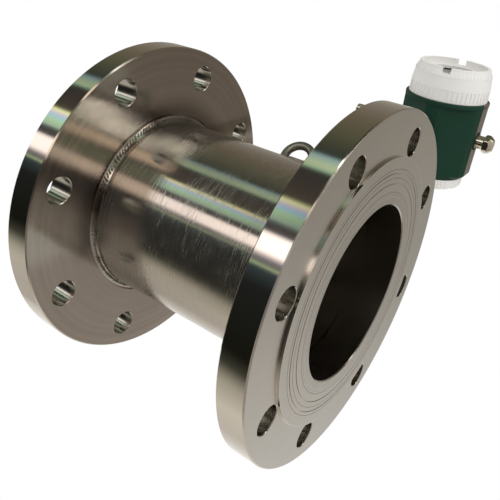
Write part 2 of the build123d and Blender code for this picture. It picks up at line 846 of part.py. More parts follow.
# Display bezel with an opening for the screen and one for each key
with BuildPart() as display_bezel:
    with BuildSketch(across_plane(bezel_front)):
        Circle(bezel_radius)
    extrude(amount=bezel_thickness)
    with BuildSketch(across_plane(bezel_front + bezel_wall)):
        Circle(bezel_radius - bezel_wall)
        with GridLocations(board_post_spacing, board_post_spacing, 2, 2):
            Circle(board_post_diameter / 2 + board_post_clearance, mode=Mode.SUBTRACT)
    extrude(amount=bezel_thickness - bezel_wall, mode=Mode.SUBTRACT)
    with BuildSketch(across_plane(bezel_front)):
        with Locations((0, lcd_rise)):
            Rectangle(lcd_width - 2 * lcd_frame, lcd_height - 2 * lcd_frame)
        with Locations((0, -key_drop)):
            with GridLocations(key_pitch, 0, key_count, 1):
                Circle(key_diameter / 2 + key_fit)
        with GridLocations(board_post_spacing, board_post_spacing, 2, 2):
            Circle(screw_diameter / 2 + screw_clearance)
    extrude(amount=bezel_thickness, mode=Mode.SUBTRACT)

with BuildPart() as lcd_panel:
    with BuildSketch(across_plane(bezel_front + bezel_wall)):
        with Locations((0, lcd_rise)):
            Rectangle(lcd_width, lcd_height)
    extrude(amount=bezel_thickness - bezel_wall)


def display_key(index):
    """Push key with a collar behind the bezel, numbered from the left as the display is read."""
    x = (index - (key_count - 1) / 2) * key_pitch
    with BuildPart() as made:
        with BuildSketch(across_plane(bezel_front - key_proud)):
            with Locations((-x, -key_drop)):
                Circle(key_diameter / 2)
        extrude(amount=key_proud + bezel_wall + key_fit)
        with BuildSketch(across_plane(bezel_front + bezel_wall + key_fit)):
            with Locations((-x, -key_drop)):
                Circle(key_diameter / 2 + key_collar)
        extrude(amount=bezel_thickness - bezel_wall - key_fit - key_travel - key_fit)
        chamfer(made.faces().sort_by(Axis.Y)[0].edges(), key_chamfer)
    return made


display_key_left = display_key(0)
display_key_middle = display_key(1)
display_key_right = display_key(2)

with BuildPart() as display_screws:
    with BuildSketch(across_plane(bezel_front - screw_head_height)):
        with GridLocations(board_post_spacing, board_post_spacing, 2, 2):
            Circle(screw_head / 2)
    extrude(amount=screw_head_height)
    with BuildSketch(across_plane(bezel_front - screw_head_height)):
        with GridLocations(board_post_spacing, board_post_spacing, 2, 2):
            Rectangle(screw_slot, screw_head)
    extrude(amount=screw_slot_depth, mode=Mode.SUBTRACT)
    with BuildSketch(across_plane(bezel_front)):
        with GridLocations(board_post_spacing, board_post_spacing, 2, 2):
            Circle(board_post_bore / 2 - screw_fit)
    extrude(amount=bezel_thickness + board_thickness + display_board_standoff / 2)

# Terminal block on the bulkhead's rear face
terminal_front = -bulkhead_front + bulkhead_thickness
with BuildPart() as terminal_block:
    with BuildSketch(across_plane(terminal_front)):
        with Locations((0, terminal_drop)):
            Rectangle(terminal_width, terminal_height)
    extrude(amount=terminal_depth)
    with BuildSketch(across_plane(terminal_front + terminal_depth - terminal_step)):
        with Locations((0, terminal_drop - terminal_height / 2)):
            with GridLocations(terminal_pitch, 0, terminal_count, 1):
                Rectangle(terminal_pitch - terminal_wall, terminal_height - terminal_wall)
    extrude(amount=terminal_step, mode=Mode.SUBTRACT)
    with BuildSketch(across_plane(terminal_front)):
        with Locations((0, terminal_drop + terminal_height / 4)):
            with GridLocations(terminal_pitch, 0, terminal_count, 1):
                Circle(screw_diameter / 2 + terminal_screw_fit)
    extrude(amount=terminal_depth, mode=Mode.SUBTRACT)

terminal_slot_floor = terminal_front + terminal_depth + screw_head_height - screw_slot_depth
with BuildPart() as terminal_screws:
    with BuildSketch(across_plane(terminal_front + terminal_depth)):
        with Locations((0, terminal_drop + terminal_height / 4)):
            with GridLocations(terminal_pitch, 0, terminal_count, 1):
                Circle(terminal_screw_head / 2)
    extrude(amount=screw_head_height)
    with BuildSketch(across_plane(terminal_slot_floor)):
        with Locations((0, terminal_drop + terminal_height / 4)):
            with GridLocations(terminal_pitch, 0, terminal_count, 1):
                Rectangle(screw_slot, terminal_screw_head)
    extrude(amount=screw_slot_depth, mode=Mode.SUBTRACT)
    with BuildSketch(across_plane(terminal_front + terminal_depth)):
        with Locations((0, terminal_drop + terminal_height / 4)):
            with GridLocations(terminal_pitch, 0, terminal_count, 1):
                Circle(screw_diameter / 2)
    extrude(amount=-terminal_depth / 2)

# Stopping plug in the outlet side's entry
with BuildPart() as plug_washer:
    with BuildSketch(side_plane(pad_face, 1)):
        Circle(plug_washer_diameter / 2)
        Circle(entry_bore / 2, mode=Mode.SUBTRACT)
    extrude(amount=plug_washer_thickness)

plug_seat = pad_face + plug_washer_thickness
plug_head = plug_seat + plug_neck_length
plug_crest = plug_head + plug_hex_length
plug_tip = plug_crest + plug_dome_length
with BuildPart() as entry_plug:
    with BuildSketch(side_plane(plug_head, 1)):
        RegularPolygon(plug_hex / 2, hex_sides, major_radius=False)
    extrude(amount=plug_hex_length + plug_dome_length)
    with BuildSketch(entry_section):
        with BuildLine():
            Polyline(
                (plug_head, 0),
                (plug_head, plug_hex / 2),
                (plug_head + plug_bevel, plug_hex / 2 + plug_bevel),
                (plug_crest - plug_bevel, plug_hex / 2 + plug_bevel),
                (plug_tip, plug_hex / 2 - plug_dome_inset),
                (plug_tip, 0),
                close=True,
            )
        make_face()
    revolve(axis=entry_axis, mode=Mode.INTERSECT)
    with BuildSketch(side_plane(plug_seat - entry_engagement - plug_washer_thickness, 1)):
        Circle(entry_bore / 2 - entry_fit)
    extrude(amount=entry_engagement + plug_washer_thickness)
    with BuildSketch(side_plane(plug_seat, 1)):
        Circle(plug_neck_diameter / 2)
    extrude(amount=plug_neck_length)

# Cable gland in the inlet side's entry: body, seal and nut with a sleeve
with BuildPart() as gland_washer:
    with BuildSketch(side_plane(-pad_face, -1)):
        Circle(plug_washer_diameter / 2)
        Circle(entry_bore / 2, mode=Mode.SUBTRACT)
    extrude(amount=plug_washer_thickness)

gland_seat = pad_face + plug_washer_thickness
barrel_start = gland_seat + gland_hex_length
barrel_end = barrel_start + gland_barrel_length
seal_start = barrel_end - gland_seal_length
nut_start = barrel_start + gland_nut_gap
nut_end = nut_start + gland_nut_length
with BuildPart() as gland_body:
    with BuildSketch(side_plane(-gland_seat + entry_engagement + plug_washer_thickness, -1)):
        Circle(entry_bore / 2 - entry_fit)
    extrude(amount=entry_engagement + plug_washer_thickness)
    with BuildSketch(side_plane(-gland_seat, -1)):
        RegularPolygon(gland_hex / 2, hex_sides, major_radius=False)
    extrude(amount=gland_hex_length)
    with BuildSketch(side_plane(-barrel_start, -1)):
        Circle(gland_barrel / 2)
    extrude(amount=gland_barrel_length)
    with BuildSketch(side_plane(-gland_seat + entry_engagement + plug_washer_thickness, -1)):
        Circle(gland_bore / 2)
    extrude(amount=barrel_end, mode=Mode.SUBTRACT)

with BuildPart() as gland_seal:
    with BuildSketch(side_plane(-seal_start, -1)):
        Circle(gland_bore / 2 - entry_fit)
        Circle(gland_seal_bore / 2, mode=Mode.SUBTRACT)
    extrude(amount=gland_seal_length)

with BuildPart() as gland_nut:
    with BuildSketch(side_plane(-nut_start, -1)):
        RegularPolygon(gland_nut_hex / 2, hex_sides, major_radius=False)
    extrude(amount=gland_nut_length)
    with BuildSketch(entry_section):
        with BuildLine():
            Polyline(
                (-nut_start, 0),
                (-nut_start, gland_nut_hex / 2),
                (-nut_start - gland_nut_bevel, gland_nut_hex / 2 + gland_nut_bevel),
                (-nut_end + gland_nut_cone, gland_nut_hex / 2 + gland_nut_bevel),
                (-nut_end, gland_nut_hex / 2 - gland_nut_bevel),
                (-nut_end, 0),
                close=True,
            )
        make_face()
    revolve(axis=entry_axis, mode=Mode.INTERSECT)
    with BuildSketch(side_plane(-nut_end, -1)):
        Circle(gland_tail / 2)
    extrude(amount=gland_tail_length)
    chamfer(gland_nut.faces().sort_by(Axis.X)[0].edges(), gland_tail_chamfer)
    with BuildSketch(side_plane(-nut_start, -1)):
        Circle(gland_barrel / 2 + gland_seal_fit)
    extrude(amount=barrel_end - nut_start + gland_seal_fit, mode=Mode.SUBTRACT)
    with BuildSketch(side_plane(-nut_start, -1)):
        Circle(gland_tail_bore / 2)
    extrude(amount=gland_nut_length + gland_tail_length, mode=Mode.SUBTRACT)

# One STEP file for each piece
pieces = {
    "meter_tube": meter_tube,
    "inlet_flange": inlet_flange,
    "outlet_flange": outlet_flange,
    "inlet_weld": inlet_weld,
    "outlet_weld": outlet_weld,
    "shedder_bar": shedder_bar,
    "sensor_seat": sensor_seat,
    "probe_gasket": probe_gasket,
    "sensor_probe": sensor_probe,
    "clamp_plate": clamp_plate,
    "clamp_washers": clamp_washers,
    "clamp_bolts": clamp_bolts,
    "neck_tube": neck_tube,
    "neck_weld": neck_weld,
    "neck_union": neck_union,
    "front_lifting_lug": front_lifting_lug,
    "rear_lifting_lug": rear_lifting_lug,
    "housing_body": housing_body,
    "swivel_lock_screw": swivel_lock_screw,
    "front_cover_seal": front_cover_seal,
    "rear_cover_seal": rear_cover_seal,
    "front_cover": front_cover,
    "window_seal": window_seal,
    "window_glass": window_glass,
    "window_retainer": window_retainer,
    "rear_cover": rear_cover,
    "power_board": power_board,
    "main_board": main_board,
    "display_board": display_board,
    "board_posts": board_posts,
    "board_components": board_components,
    "display_bezel": display_bezel,
    "lcd_panel": lcd_panel,
    "display_key_left": display_key_left,
    "display_key_middle": display_key_middle,
    "display_key_right": display_key_right,
    "display_screws": display_screws,
    "terminal_block": terminal_block,
    "terminal_screws": terminal_screws,
    "plug_washer": plug_washer,
    "entry_plug": entry_plug,
    "gland_washer": gland_washer,
    "gland_body": gland_body,
    "gland_seal": gland_seal,
    "gland_nut": gland_nut,
}
os.makedirs("parts", exist_ok=True)
for label, piece in pieces.items():
    piece.part.label = label
    export_step(piece.part, f"parts/{label}.step")
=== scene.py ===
"""Looks of a flanged vortex flow meter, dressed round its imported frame.

The frame gives every rigid piece at its real size, with the pipe along X and the transmitter above
it on +Z. This script adds the weld beads and the screen's digits, gives each piece its finish, and
lights the meter in a plain studio, seen from below and beside the outlet. All sizes are in metres.
"""
import json
import logging
import math
from dataclasses import dataclass, replace
from enum import Enum
from typing import Any, Iterable, Optional, Union

import bmesh
import bpy
from mathutils import Matrix, Quaternion, Vector


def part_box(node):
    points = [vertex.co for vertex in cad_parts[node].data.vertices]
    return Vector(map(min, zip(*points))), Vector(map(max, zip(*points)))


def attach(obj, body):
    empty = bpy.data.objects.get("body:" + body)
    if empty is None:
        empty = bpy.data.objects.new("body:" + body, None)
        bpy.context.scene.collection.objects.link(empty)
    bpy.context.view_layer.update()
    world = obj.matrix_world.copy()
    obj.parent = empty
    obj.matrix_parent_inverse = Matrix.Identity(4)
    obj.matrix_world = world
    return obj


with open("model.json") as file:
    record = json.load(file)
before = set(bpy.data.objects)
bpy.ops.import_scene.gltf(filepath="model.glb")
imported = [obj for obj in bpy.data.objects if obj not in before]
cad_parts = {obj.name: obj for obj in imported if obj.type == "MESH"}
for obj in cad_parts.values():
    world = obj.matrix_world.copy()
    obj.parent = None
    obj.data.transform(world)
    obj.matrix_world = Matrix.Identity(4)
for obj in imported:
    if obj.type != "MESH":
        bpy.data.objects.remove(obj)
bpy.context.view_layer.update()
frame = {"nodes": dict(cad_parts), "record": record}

MM = 0.001
NOWHERE = 1.0                        # farther out, in metres, than any point of the meter
Colour = tuple[float, float, float]
Range = tuple[float, float]          # low end and high end
Band = tuple[float, float, float]    # low end, high end and width of each soft edge
Value = Union["Wire", float, tuple]
log = logging.getLogger("flow_meter")


class Line(Enum):
    """Lines along X that a finish is cut or milled round, each given by a point on it."""

    PIPE = (0.0, 0.0, 0.0)
    ENTRIES = (0.0, 0.5 * MM, 493 * MM)


class Wire:
    """One output of a node, which adds a Math node for each operator used on it."""

    def __init__(self, bench: "ShaderBench", socket: Optional[bpy.types.NodeSocket]) -> None:
        """Keeps the socket and the bench that it belongs to."""
        self.bench = bench
        self.socket = socket

    def _math(self, operation: str, *values: Value) -> "Wire":
        """Adds one Math node on the given values."""
        return self.bench.add("ShaderNodeMath", {"operation": operation}, dict(enumerate(values)))

    def __add__(self, other: Value) -> "Wire":
        """Sum."""
        return self._math("ADD", self, other)

    __radd__ = __add__

    def __sub__(self, other: Value) -> "Wire":
        """Difference."""
        return self._math("SUBTRACT", self, other)

    def __rsub__(self, other: Value) -> "Wire":
        """Difference from a number."""
        return self._math("SUBTRACT", other, self)

    def __mul__(self, other: Value) -> "Wire":
        """Product."""
        return self._math("MULTIPLY", self, other)

    __rmul__ = __mul__

    def __truediv__(self, other: Value) -> "Wire":
        """Quotient."""
        return self._math("DIVIDE", self, other)

    def __lt__(self, other: Value) -> "Wire":
        """1 where this is the smaller, else 0."""
        return self._math("LESS_THAN", self, other)

    def __abs__(self) -> "Wire":
        """Size without sign."""
        return self._math("ABSOLUTE", self)

    def root(self) -> "Wire":
        """Square root."""
        return self._math("SQRT", self)

    def cosine(self) -> "Wire":
        """Cosine of an angle in radians."""
        return self._math("COSINE", self)

    def part(self) -> "Wire":
        """What is left over the whole number below."""
        return self._math("FRACT", self)

    def angle_from(self, across: "Wire") -> "Wire":
        """Angle whose tangent is this over the other, all the way round."""
        return self._math("ARCTAN2", self, across)

    def band(self, low: float, high: float, soft: float) -> "Wire":
        """Mask of the values from low to high, with soft edges.

        Args:
            low: Where the band starts.
            high: Where the band ends.
            soft: Width of each edge.

        Returns:
            1 inside the band and 0 outside.
        """
        rise = self.ramp(low - soft, low)
        fall = self.ramp(high, high + soft)
        return rise * (1 - fall)

    def ramp(self, low: float, high: float) -> "Wire":
        """Rises smoothly from 0 at low to 1 at high."""
        return self.bench.add(
            "ShaderNodeMapRange",
            {"interpolation_type": "SMOOTHSTEP"},
            {"Value": self, "From Min": low, "From Max": high},
        )


@dataclass
class Surface:
    """What a finish sends to the one shader of its material."""

    colour: Value
    roughness: Value
    metallic: Value = 0.0
    height: Optional[Value] = None
    depth: float = 0.0
    coat: float = 0.0
    coat_roughness: float = 0.1
    transmission: float = 0.0
    ior: float = 1.5


class ShaderBench:
    """Builds one node tree, from expressions on wires."""

    def __init__(self, tree: bpy.types.NodeTree) -> None:
        """Clears the tree.

        Args:
            tree: Node tree of a material or of the world.
        """
        self.tree = tree
        self.tree.nodes.clear()

    def add(self, kind: str, settings: dict[str, Any], sockets: dict, output: Any = 0) -> Wire:
        """Adds any node, its settings first and its sockets after.

        Args:
            kind: Type of the node.
            settings: Properties of the node. The key stops holds a ramp's places and colours.
            sockets: Value or wire for each input, by name or by number.
            output: Name or number of the output that is wanted.

        Returns:
            The output as a wire, which is empty for a node without outputs.
        """
        node = self.tree.nodes.new(kind)
        for name, value in settings.items():
            if name == "stops":
                self._set_stops(node.color_ramp, value)
            else:
                setattr(node, name, value)
        for name, value in sockets.items():
            if isinstance(value, Wire):
                self.tree.links.new(value.socket, node.inputs[name])
            else:
                node.inputs[name].default_value = value
        return Wire(self, node.outputs[output] if node.outputs else None)

    @staticmethod
    def _set_stops(ramp: bpy.types.ColorRamp, stops: Iterable[tuple[float, Colour]]) -> None:
        """Gives a colour ramp its stops.

        Args:
            ramp: The ramp, which has two stops at first.
            stops: Place and colour of each stop, from 0 to 1.
        """
        for index, (place, colour) in enumerate(stops):
            stop = ramp.elements[index] if index < 2 else ramp.elements.new(place)
            stop.position = place
            stop.color = (*colour, 1.0)

    def place(self, line: Line) -> tuple[Wire, Wire, Wire]:
        """Object coordinates about one of the meter's lines.

        Args:
            line: The line that the first coordinate runs along.

        Returns:
            The place along the line, and the two places across it.
        """
        shift = {"Vector": self.spot(), "Location": tuple(-middle for middle in line.value)}
        return self.split(self.add("ShaderNodeMapping", {"vector_type": "POINT"}, shift))

    def split(self, vector: Wire) -> tuple[Wire, Wire, Wire]:
        """The three numbers of a vector."""
        node = self.add("ShaderNodeSeparateXYZ", {}, {0: vector}).socket.node
        return tuple(Wire(self, output) for output in node.outputs)

    def spot(self) -> Wire:
        """Object coordinates of the shaded point."""
        return self.add("ShaderNodeTexCoord", {}, {}, "Object")

    def join(self, x: Value, y: Value, z: Value) -> Wire:
        """Vector of three values."""
        return self.add("ShaderNodeCombineXYZ", {}, {0: x, 1: y, 2: z})

    def noise(self, where: Wire, scale: float, detail: float = 2.0, rough: float = 0.5) -> Wire:
        """Smooth noise from 0 to 1, about 0.5.

        Args:
            where: Vector that the noise follows.
            scale: Grains in a unit of the vector.
            detail: Octaves of finer grain.
            rough: Share of each finer octave.

        Returns:
            The noise.
        """
        inputs = {"Vector": where, "Scale": scale, "Detail": detail, "Roughness": rough}
        return self.add("ShaderNodeTexNoise", {"noise_dimensions": "3D"}, inputs)

    def stripe(self, along: Wire, pitch: float, detail: float = 1.0) -> Wire:
        """Uneven grooves that follow one value, from 0 to 1.

        Args:
            along: Value that the grooves lie across.
            pitch: Usual distance from groove to groove.
            detail: Octaves of finer grooves.

        Returns:
            The grooves' height.
        """
        inputs = {"W": along, "Scale": 1 / pitch, "Detail": detail}
        return self.add("ShaderNodeTexNoise", {"noise_dimensions": "1D"}, inputs)

    def blend(self, share: Value, first: Value, second: Value) -> Wire:
        """Colour between two colours.

        Args:
            share: 0 for the first colour and 1 for the second.
            first: First colour, of three numbers or a wire.
            second: Second colour, of three numbers or a wire.

        Returns:
            The mixed colour.
        """
        def full(colour: Value) -> Value:
            """Colour with its fourth number."""
            return colour if isinstance(colour, Wire) else (*colour, 1.0)

        inputs = {0: share, 6: full(first), 7: full(second)}
        return self.add("ShaderNodeMix", {"data_type": "RGBA"}, inputs, 2)

    def tint(self, colour: Value, factor: Wire) -> Wire:
        """Colour darkened or lightened by a value."""
        return self.add("ShaderNodeVectorMath", {"operation": "SCALE"}, {0: colour, "Scale": factor})

    def finish(self, surface: Surface) -> None:
        """Adds the shader and the output for a surface.

        Args:
            surface: What the shader gets.
        """
        colour = surface.colour
        sockets = {
            "Base Color": colour if isinstance(colour, Wire) else (*colour, 1.0),
            "Roughness": surface.roughness,
            "Metallic": surface.metallic,
            "Coat Weight": surface.coat,
            "Coat Roughness": surface.coat_roughness,
            "Transmission Weight": surface.transmission,
            "IOR": surface.ior,
        }
        if surface.height is not None:
            bump = {"Height": surface.height, "Distance": surface.depth, "Strength": 1.0}
            sockets["Normal"] = self.add("ShaderNodeBump", {}, bump)
        shader = self.add("ShaderNodeBsdfPrincipled", {}, sockets)
        self.add("ShaderNodeOutputMaterial", {}, {"Surface": shader})


@dataclass(frozen=True)
class Finish:
    """What all finishes have: their material slot, colour and gloss."""

    slot: str
    colour: Colour
    roughness: float

    def surface(self, bench: ShaderBench) -> Surface:
        """What the shader gets, which each kind of finish gives in its own way."""
        raise NotImplementedError

    def material(self) -> bpy.types.Material:
        """Makes the finish's material.

        Returns:
            The material, named after its slot.
        """
        made = bpy.data.materials.new(self.slot)
        made.use_nodes = True
        bench = ShaderBench(made.node_tree)
        bench.finish(self.surface(bench))
        return made


@dataclass
class Zones:
    """Masks of a turned piece's zones, each 1 inside its zone and 0 outside."""

    facing: Wire
    step: Wire
    front: Wire
    rim: Wire
    bore: Wire
    holes: Wire


@dataclass(frozen=True)
class CutSteel(Finish):
    """Stainless steel turned or brushed round a line, with grooves, scratches and a lathe's sheen."""

    line: Line = Line.PIPE
    groove_pitch: float = 0.35 * MM
    groove_depth: float = 0.008 * MM
    cloud_roughness: float = 0.08
    cloud_shade: float = 0.12
    scratch: float = 0.5
    scratch_stretch: Range = (1500.0, 6.0)
    scratch_range: Range = (0.44, 0.76)
    scratch_roughness: float = 0.28
    scratch_shade: float = 0.2
    scratch_height: float = 0.25
    worn_range: Range = (0.3, 0.6)
    haze: float = 0.0
    haze_floor: float = 0.4
    turning: float = 0.0
    turning_pitch: float = 5.0 * MM
    turning_roughness: float = 0.1
    turning_shade: float = 0.35
    turning_front: float = 1.2
    bore_radius: float = 0.0
    bore_edge: float = 0.5 * MM
    bore_roughness: float = 0.22
    rim_radius: float = NOWHERE
    rim_edge: Range = (0.8 * MM, 0.3 * MM)
    rim_roughness: float = 0.08
    front_place: float = NOWHERE
    front_edge: float = 1.0 * MM
    front_roughness: float = 0.3
    step_radius: float = NOWHERE
    step_band: Band = (0.0, 0.4 * MM, 0.1 * MM)
    ring_radii: tuple[float, ...] = ()
    ring_band: Band = (0.0, 0.2 * MM, 0.2 * MM)
    ring_share: float = 14.0
    ring_tint: float = 0.55
    hole_circle: float = NOWHERE
    hole_radius: float = 11.6 * MM
    hole_edge: float = 0.2 * MM
    hole_count: int = 8
    hole_roughness: float = 0.2
    # Darkening of the bolt holes' walls: painted shade
    hole_painted_shade: float = 0.15
    heat_place: float = 0.0
    heat_place_band: Band = (0.0, 0.6 * MM, 1.2 * MM)
    heat_radius: float = 0.0
    heat_radius_band: Band = (0.0, 0.4 * MM, 0.9 * MM)
    heat_patches: Range = (0.42, 0.62)
    heat_colour: Colour = (0.16, 0.085, 0.045)
    # Angles round the pipe, in degrees, where a flange face is darkened near its weld: painted shade
    painted_shade_turns: tuple[Range, ...] = ((95.0, 200.0), (-200.0, -172.0), (-116.0, -85.0))
    painted_shade_edge: float = 14.0
    painted_shade_reach: float = 22 * MM
    painted_shade_share: float = 0.55

    def surface(self, bench: ShaderBench) -> Surface:
        """Grooves along the line and out from it, so light streaks across them.

        Args:
            bench: Bench of the finish's material.

        Returns:
            What the shader gets.
        """
        along, across, up = bench.place(self.line)
        radius = (across * across + up * up).root()
        angle = up.angle_from(across)
        zones = self._zones(abs(along), radius, angle)
        turned = bench.stripe(radius, self.groove_pitch) + bench.stripe(along, self.groove_pitch)
        fine, wide = self.scratch_stretch
        stretched = bench.join(along * fine, across / radius * wide, up / radius * wide)
        marks = bench.noise(stretched, scale=1.0, detail=3.0, rough=0.6)
        worn = bench.noise(bench.spot(), scale=26.0).ramp(*self.worn_range)
        lines = marks.ramp(*self.scratch_range) * worn * self.scratch
        cloud = bench.noise(bench.spot(), scale=14.0, detail=3.0)
        passes = (bench.stripe(radius, self.turning_pitch, detail=3.0) - 0.5) * self.turning
        passes = passes * (self.turning_front - zones.facing)
        roughness = self.roughness + (cloud - 0.5) * self.cloud_roughness
        roughness = roughness + lines * self.scratch_roughness + passes * self.turning_roughness
        for zone, rough in (
            (zones.front, self.front_roughness),
            (zones.rim, self.rim_roughness),
            (zones.step, self.rim_roughness),
            (zones.bore, self.bore_roughness),
            (zones.holes, self.hole_roughness),
        ):
            roughness = roughness + zone * (rough - roughness)
        shade = 1 + (cloud - 0.5) * self.cloud_shade + passes * self.turning_shade
        shade = shade + (marks - 0.5) * self.scratch * self.scratch_shade
        # The bolt holes' walls are darkened: painted shade
        colour = bench.tint(self.colour, shade * (1 - zones.holes * self.hole_painted_shade))
        patch = cloud.ramp(*self.heat_patches)
        if self.heat_place:
            near = abs(abs(along) - self.heat_place).band(*self.heat_place_band)
            colour = bench.blend(near * patch, colour, self.heat_colour)
        if self.heat_radius:
            # Heat tint near the weld, and painted shade on some angles round the pipe
            colour = self._heat_tint_and_painted_shade(bench, colour, radius, angle, patch, 1 - zones.front)
        ground = (1 - zones.holes) * (1 - zones.bore) * (1 - zones.step)
        height = (turned + marks * self.scratch * self.scratch_height) * ground
        for ring in self.ring_radii:
            cut = abs(radius - ring).band(*self.ring_band) * zones.front
            height = height - cut * self.ring_share
            colour = bench.blend(cut * self.ring_tint, colour, self.heat_colour)
        hazy = (self.haze_floor + lines) * (1 - zones.bore) * self.haze if self.haze else 0.0
        return Surface(colour, roughness, 1 - hazy, height, self.groove_depth)

    def _zones(self, offset: Wire, radius: Wire, angle: Wire) -> Zones:
        """Masks of the zones that are cut or worn in their own way.

        Args:
            offset: Distance from the middle of the line, either way.
            radius: Distance from the line.
            angle: Angle round the line, in radians.

        Returns:
            The masks.
        """
        facing = offset.ramp(self.front_place - self.front_edge, self.front_place)
        step = abs(radius - self.step_radius).band(*self.step_band)
        rim_start, rim_end = (self.rim_radius - inset for inset in self.rim_edge)
        return Zones(
            facing=facing,
            step=step,
            front=facing * (1 - step),
            rim=radius.ramp(rim_start, rim_end),
            bore=1 - radius.ramp(self.bore_radius, self.bore_radius + self.bore_edge),
            holes=self._holes(radius, angle),
        )

    def _holes(self, radius: Wire, angle: Wire) -> Wire:
        """Mask of the bolt holes' walls.

        Args:
            radius: Distance from the line.
            angle: Angle round the line, in radians.

        Returns:
            1 inside a hole and 0 elsewhere.
        """
        pitch = 2 * math.pi / self.hole_count
        turn = ((angle / pitch).part() - 0.5) * pitch
        reach = radius * radius - 2 * self.hole_circle * radius * turn.cosine() + self.hole_circle ** 2
        return 1 - reach.ramp(self.hole_radius ** 2, (self.hole_radius + self.hole_edge) ** 2)

    def _heat_tint_and_painted_shade(
        self, bench: ShaderBench, colour: Wire, radius: Wire, angle: Wire, patch: Wire, back: Wire
    ) -> Wire:
        """Heat tint, and painted shade on some angles round the pipe, on the side of a flange that its
        weld meets.

        Args:
            bench: Bench of the finish's material.
            colour: Colour before the tint.
            radius: Distance from the line.
            angle: Angle round the line, in radians.
            patch: Mask of the patches that the heat has tinted.
            back: Mask of all but the sealing side.

        Returns:
            The tinted colour.
        """
        near = abs(radius - self.heat_radius).band(*self.heat_radius_band)
        colour = bench.blend(near * patch * back, colour, self.heat_colour)
        turn = angle * (180 / math.pi)
        # Darker on the listed angles near the weld: painted shade
        painted_shade_mask = sum(turn.band(low, high, self.painted_shade_edge) for low, high in self.painted_shade_turns)
        painted_shade_mask = painted_shade_mask * (1 - radius.ramp(self.heat_radius, self.heat_radius + self.painted_shade_reach)) * back
        return bench.tint(colour, 1 - self.painted_shade_share * painted_shade_mask)


@dataclass(frozen=True)
class BrightMetal(Finish):
    """Polished or plated metal with faint handling marks."""

    mark: float = 0.08
    mark_level: float = 0.3
    mottle: float = 0.16
    depth: float = 0.02 * MM

    def surface(self, bench: ShaderBench) -> Surface:
        """Bright metal, uneven by a little.

        Args:
            bench: Bench of the finish's material.

        Returns:
            What the shader gets.
        """
        cloud = bench.noise(bench.spot(), scale=90.0, detail=3.0)
        fine = bench.noise(bench.spot(), scale=700.0)
        colour = bench.tint(self.colour, 1 + (cloud - 0.5) * self.mottle)
        roughness = self.roughness + (cloud - self.mark_level) * self.mark
        return Surface(colour, roughness, 1.0, fine, self.depth)


@dataclass(frozen=True)
class CastPaint(Finish):
    """Satin paint on a casting, which may leave machined side pads bare."""

    bare: Optional[Colour] = None
    bare_roughness: float = 0.38
    mill_pitch: float = 0.5 * MM
    mill_slant: float = 0.3
    mill_shade: float = 0.3
    pad_side: float = 56.4 * MM
    pad_half_height: float = 13.6 * MM
    pad_edge: float = 0.3 * MM
    skin_depth: float = 0.03 * MM
    mottle: float = 0.14
    cloud_roughness: float = 0.08
    coat: float = 0.15
    ior: float = 1.5

    def surface(self, bench: ShaderBench) -> Surface:
        """Paint with the skin that a sprayed casting has.

        Args:
            bench: Bench of the finish's material.

        Returns:
            What the shader gets.
        """
        skin = bench.noise(bench.spot(), scale=420.0)
        cloud = bench.noise(bench.spot(), scale=18.0, detail=3.0)
        colour = bench.tint(self.colour, 1 + (cloud - 0.5) * self.mottle)
        roughness = self.roughness + (cloud - 0.5) * self.cloud_roughness
        paint = Surface(colour, roughness, 0.0, skin, self.skin_depth, coat=self.coat, ior=self.ior)
        if self.bare is None:
            return paint
        side, across, height = bench.place(Line.ENTRIES)
        pad = abs(side).ramp(self.pad_side, self.pad_side + self.pad_edge)
        pad = pad * (1 - abs(height).ramp(self.pad_half_height, self.pad_half_height + self.pad_edge))
        milled = bench.stripe(across + height * self.mill_slant, self.mill_pitch)
        metal = bench.tint(self.bare, 1 + (milled - 0.5) * self.mill_shade)
        return replace(
            paint,
            colour=bench.blend(pad, colour, metal),
            roughness=roughness + pad * (self.bare_roughness - roughness),
            metallic=pad,
            height=skin + milled * pad,
        )


@dataclass(frozen=True)
class Moulded(Finish):
    """Moulded plastic or rubber with a spark-eroded grain."""

    grain: float = 900.0
    grain_roughness: float = 0.1
    depth: float = 0.03 * MM
    mottle: float = 0.3

    def surface(self, bench: ShaderBench) -> Surface:
        """Plain colour with a fine grain.

        Args:
            bench: Bench of the finish's material.

        Returns:
            What the shader gets.
        """
        grain = bench.noise(bench.spot(), self.grain)
        cloud = bench.noise(bench.spot(), scale=40.0)
        colour = bench.tint(self.colour, 1 + (cloud - 0.5) * self.mottle)
        roughness = self.roughness + (grain - 0.5) * self.grain_roughness
        return Surface(colour, roughness, 0.0, grain, self.depth)


@dataclass(frozen=True)
class ClearGlass(Finish):
    """Toughened glass of the window."""

    wipe: float = 0.04

    def surface(self, bench: ShaderBench) -> Surface:
        """Clear glass with faint wipe marks in its gloss.

        Args:
            bench: Bench of the finish's material.

        Returns:
            What the shader gets.
        """
        marks = bench.noise(bench.spot(), scale=35.0, detail=3.0)
        return Surface(self.colour, self.roughness + self.wipe * marks, transmission=1.0)


@dataclass(frozen=True)
class BoardMask(Finish):
    """Solder mask over copper tracks."""

    track: Colour = (0.05, 0.28, 0.13)
    track_band: Band = (0.45, 0.6, 0.05)
    pitch: float = 2.5 * MM
    coat: float = 0.4

    def surface(self, bench: ShaderBench) -> Surface:
        """Green mask with slightly lighter tracks below it.

        Args:
            bench: Bench of the finish's material.

        Returns:
            What the shader gets.
        """
        inputs = {"Vector": bench.spot(), "Scale": 1 / self.pitch}
        cells = bench.add("ShaderNodeTexVoronoi", {"distance": "MANHATTAN"}, inputs)
        colour = bench.blend(cells.band(*self.track_band), self.colour, self.track)
        return Surface(colour, self.roughness, coat=self.coat)


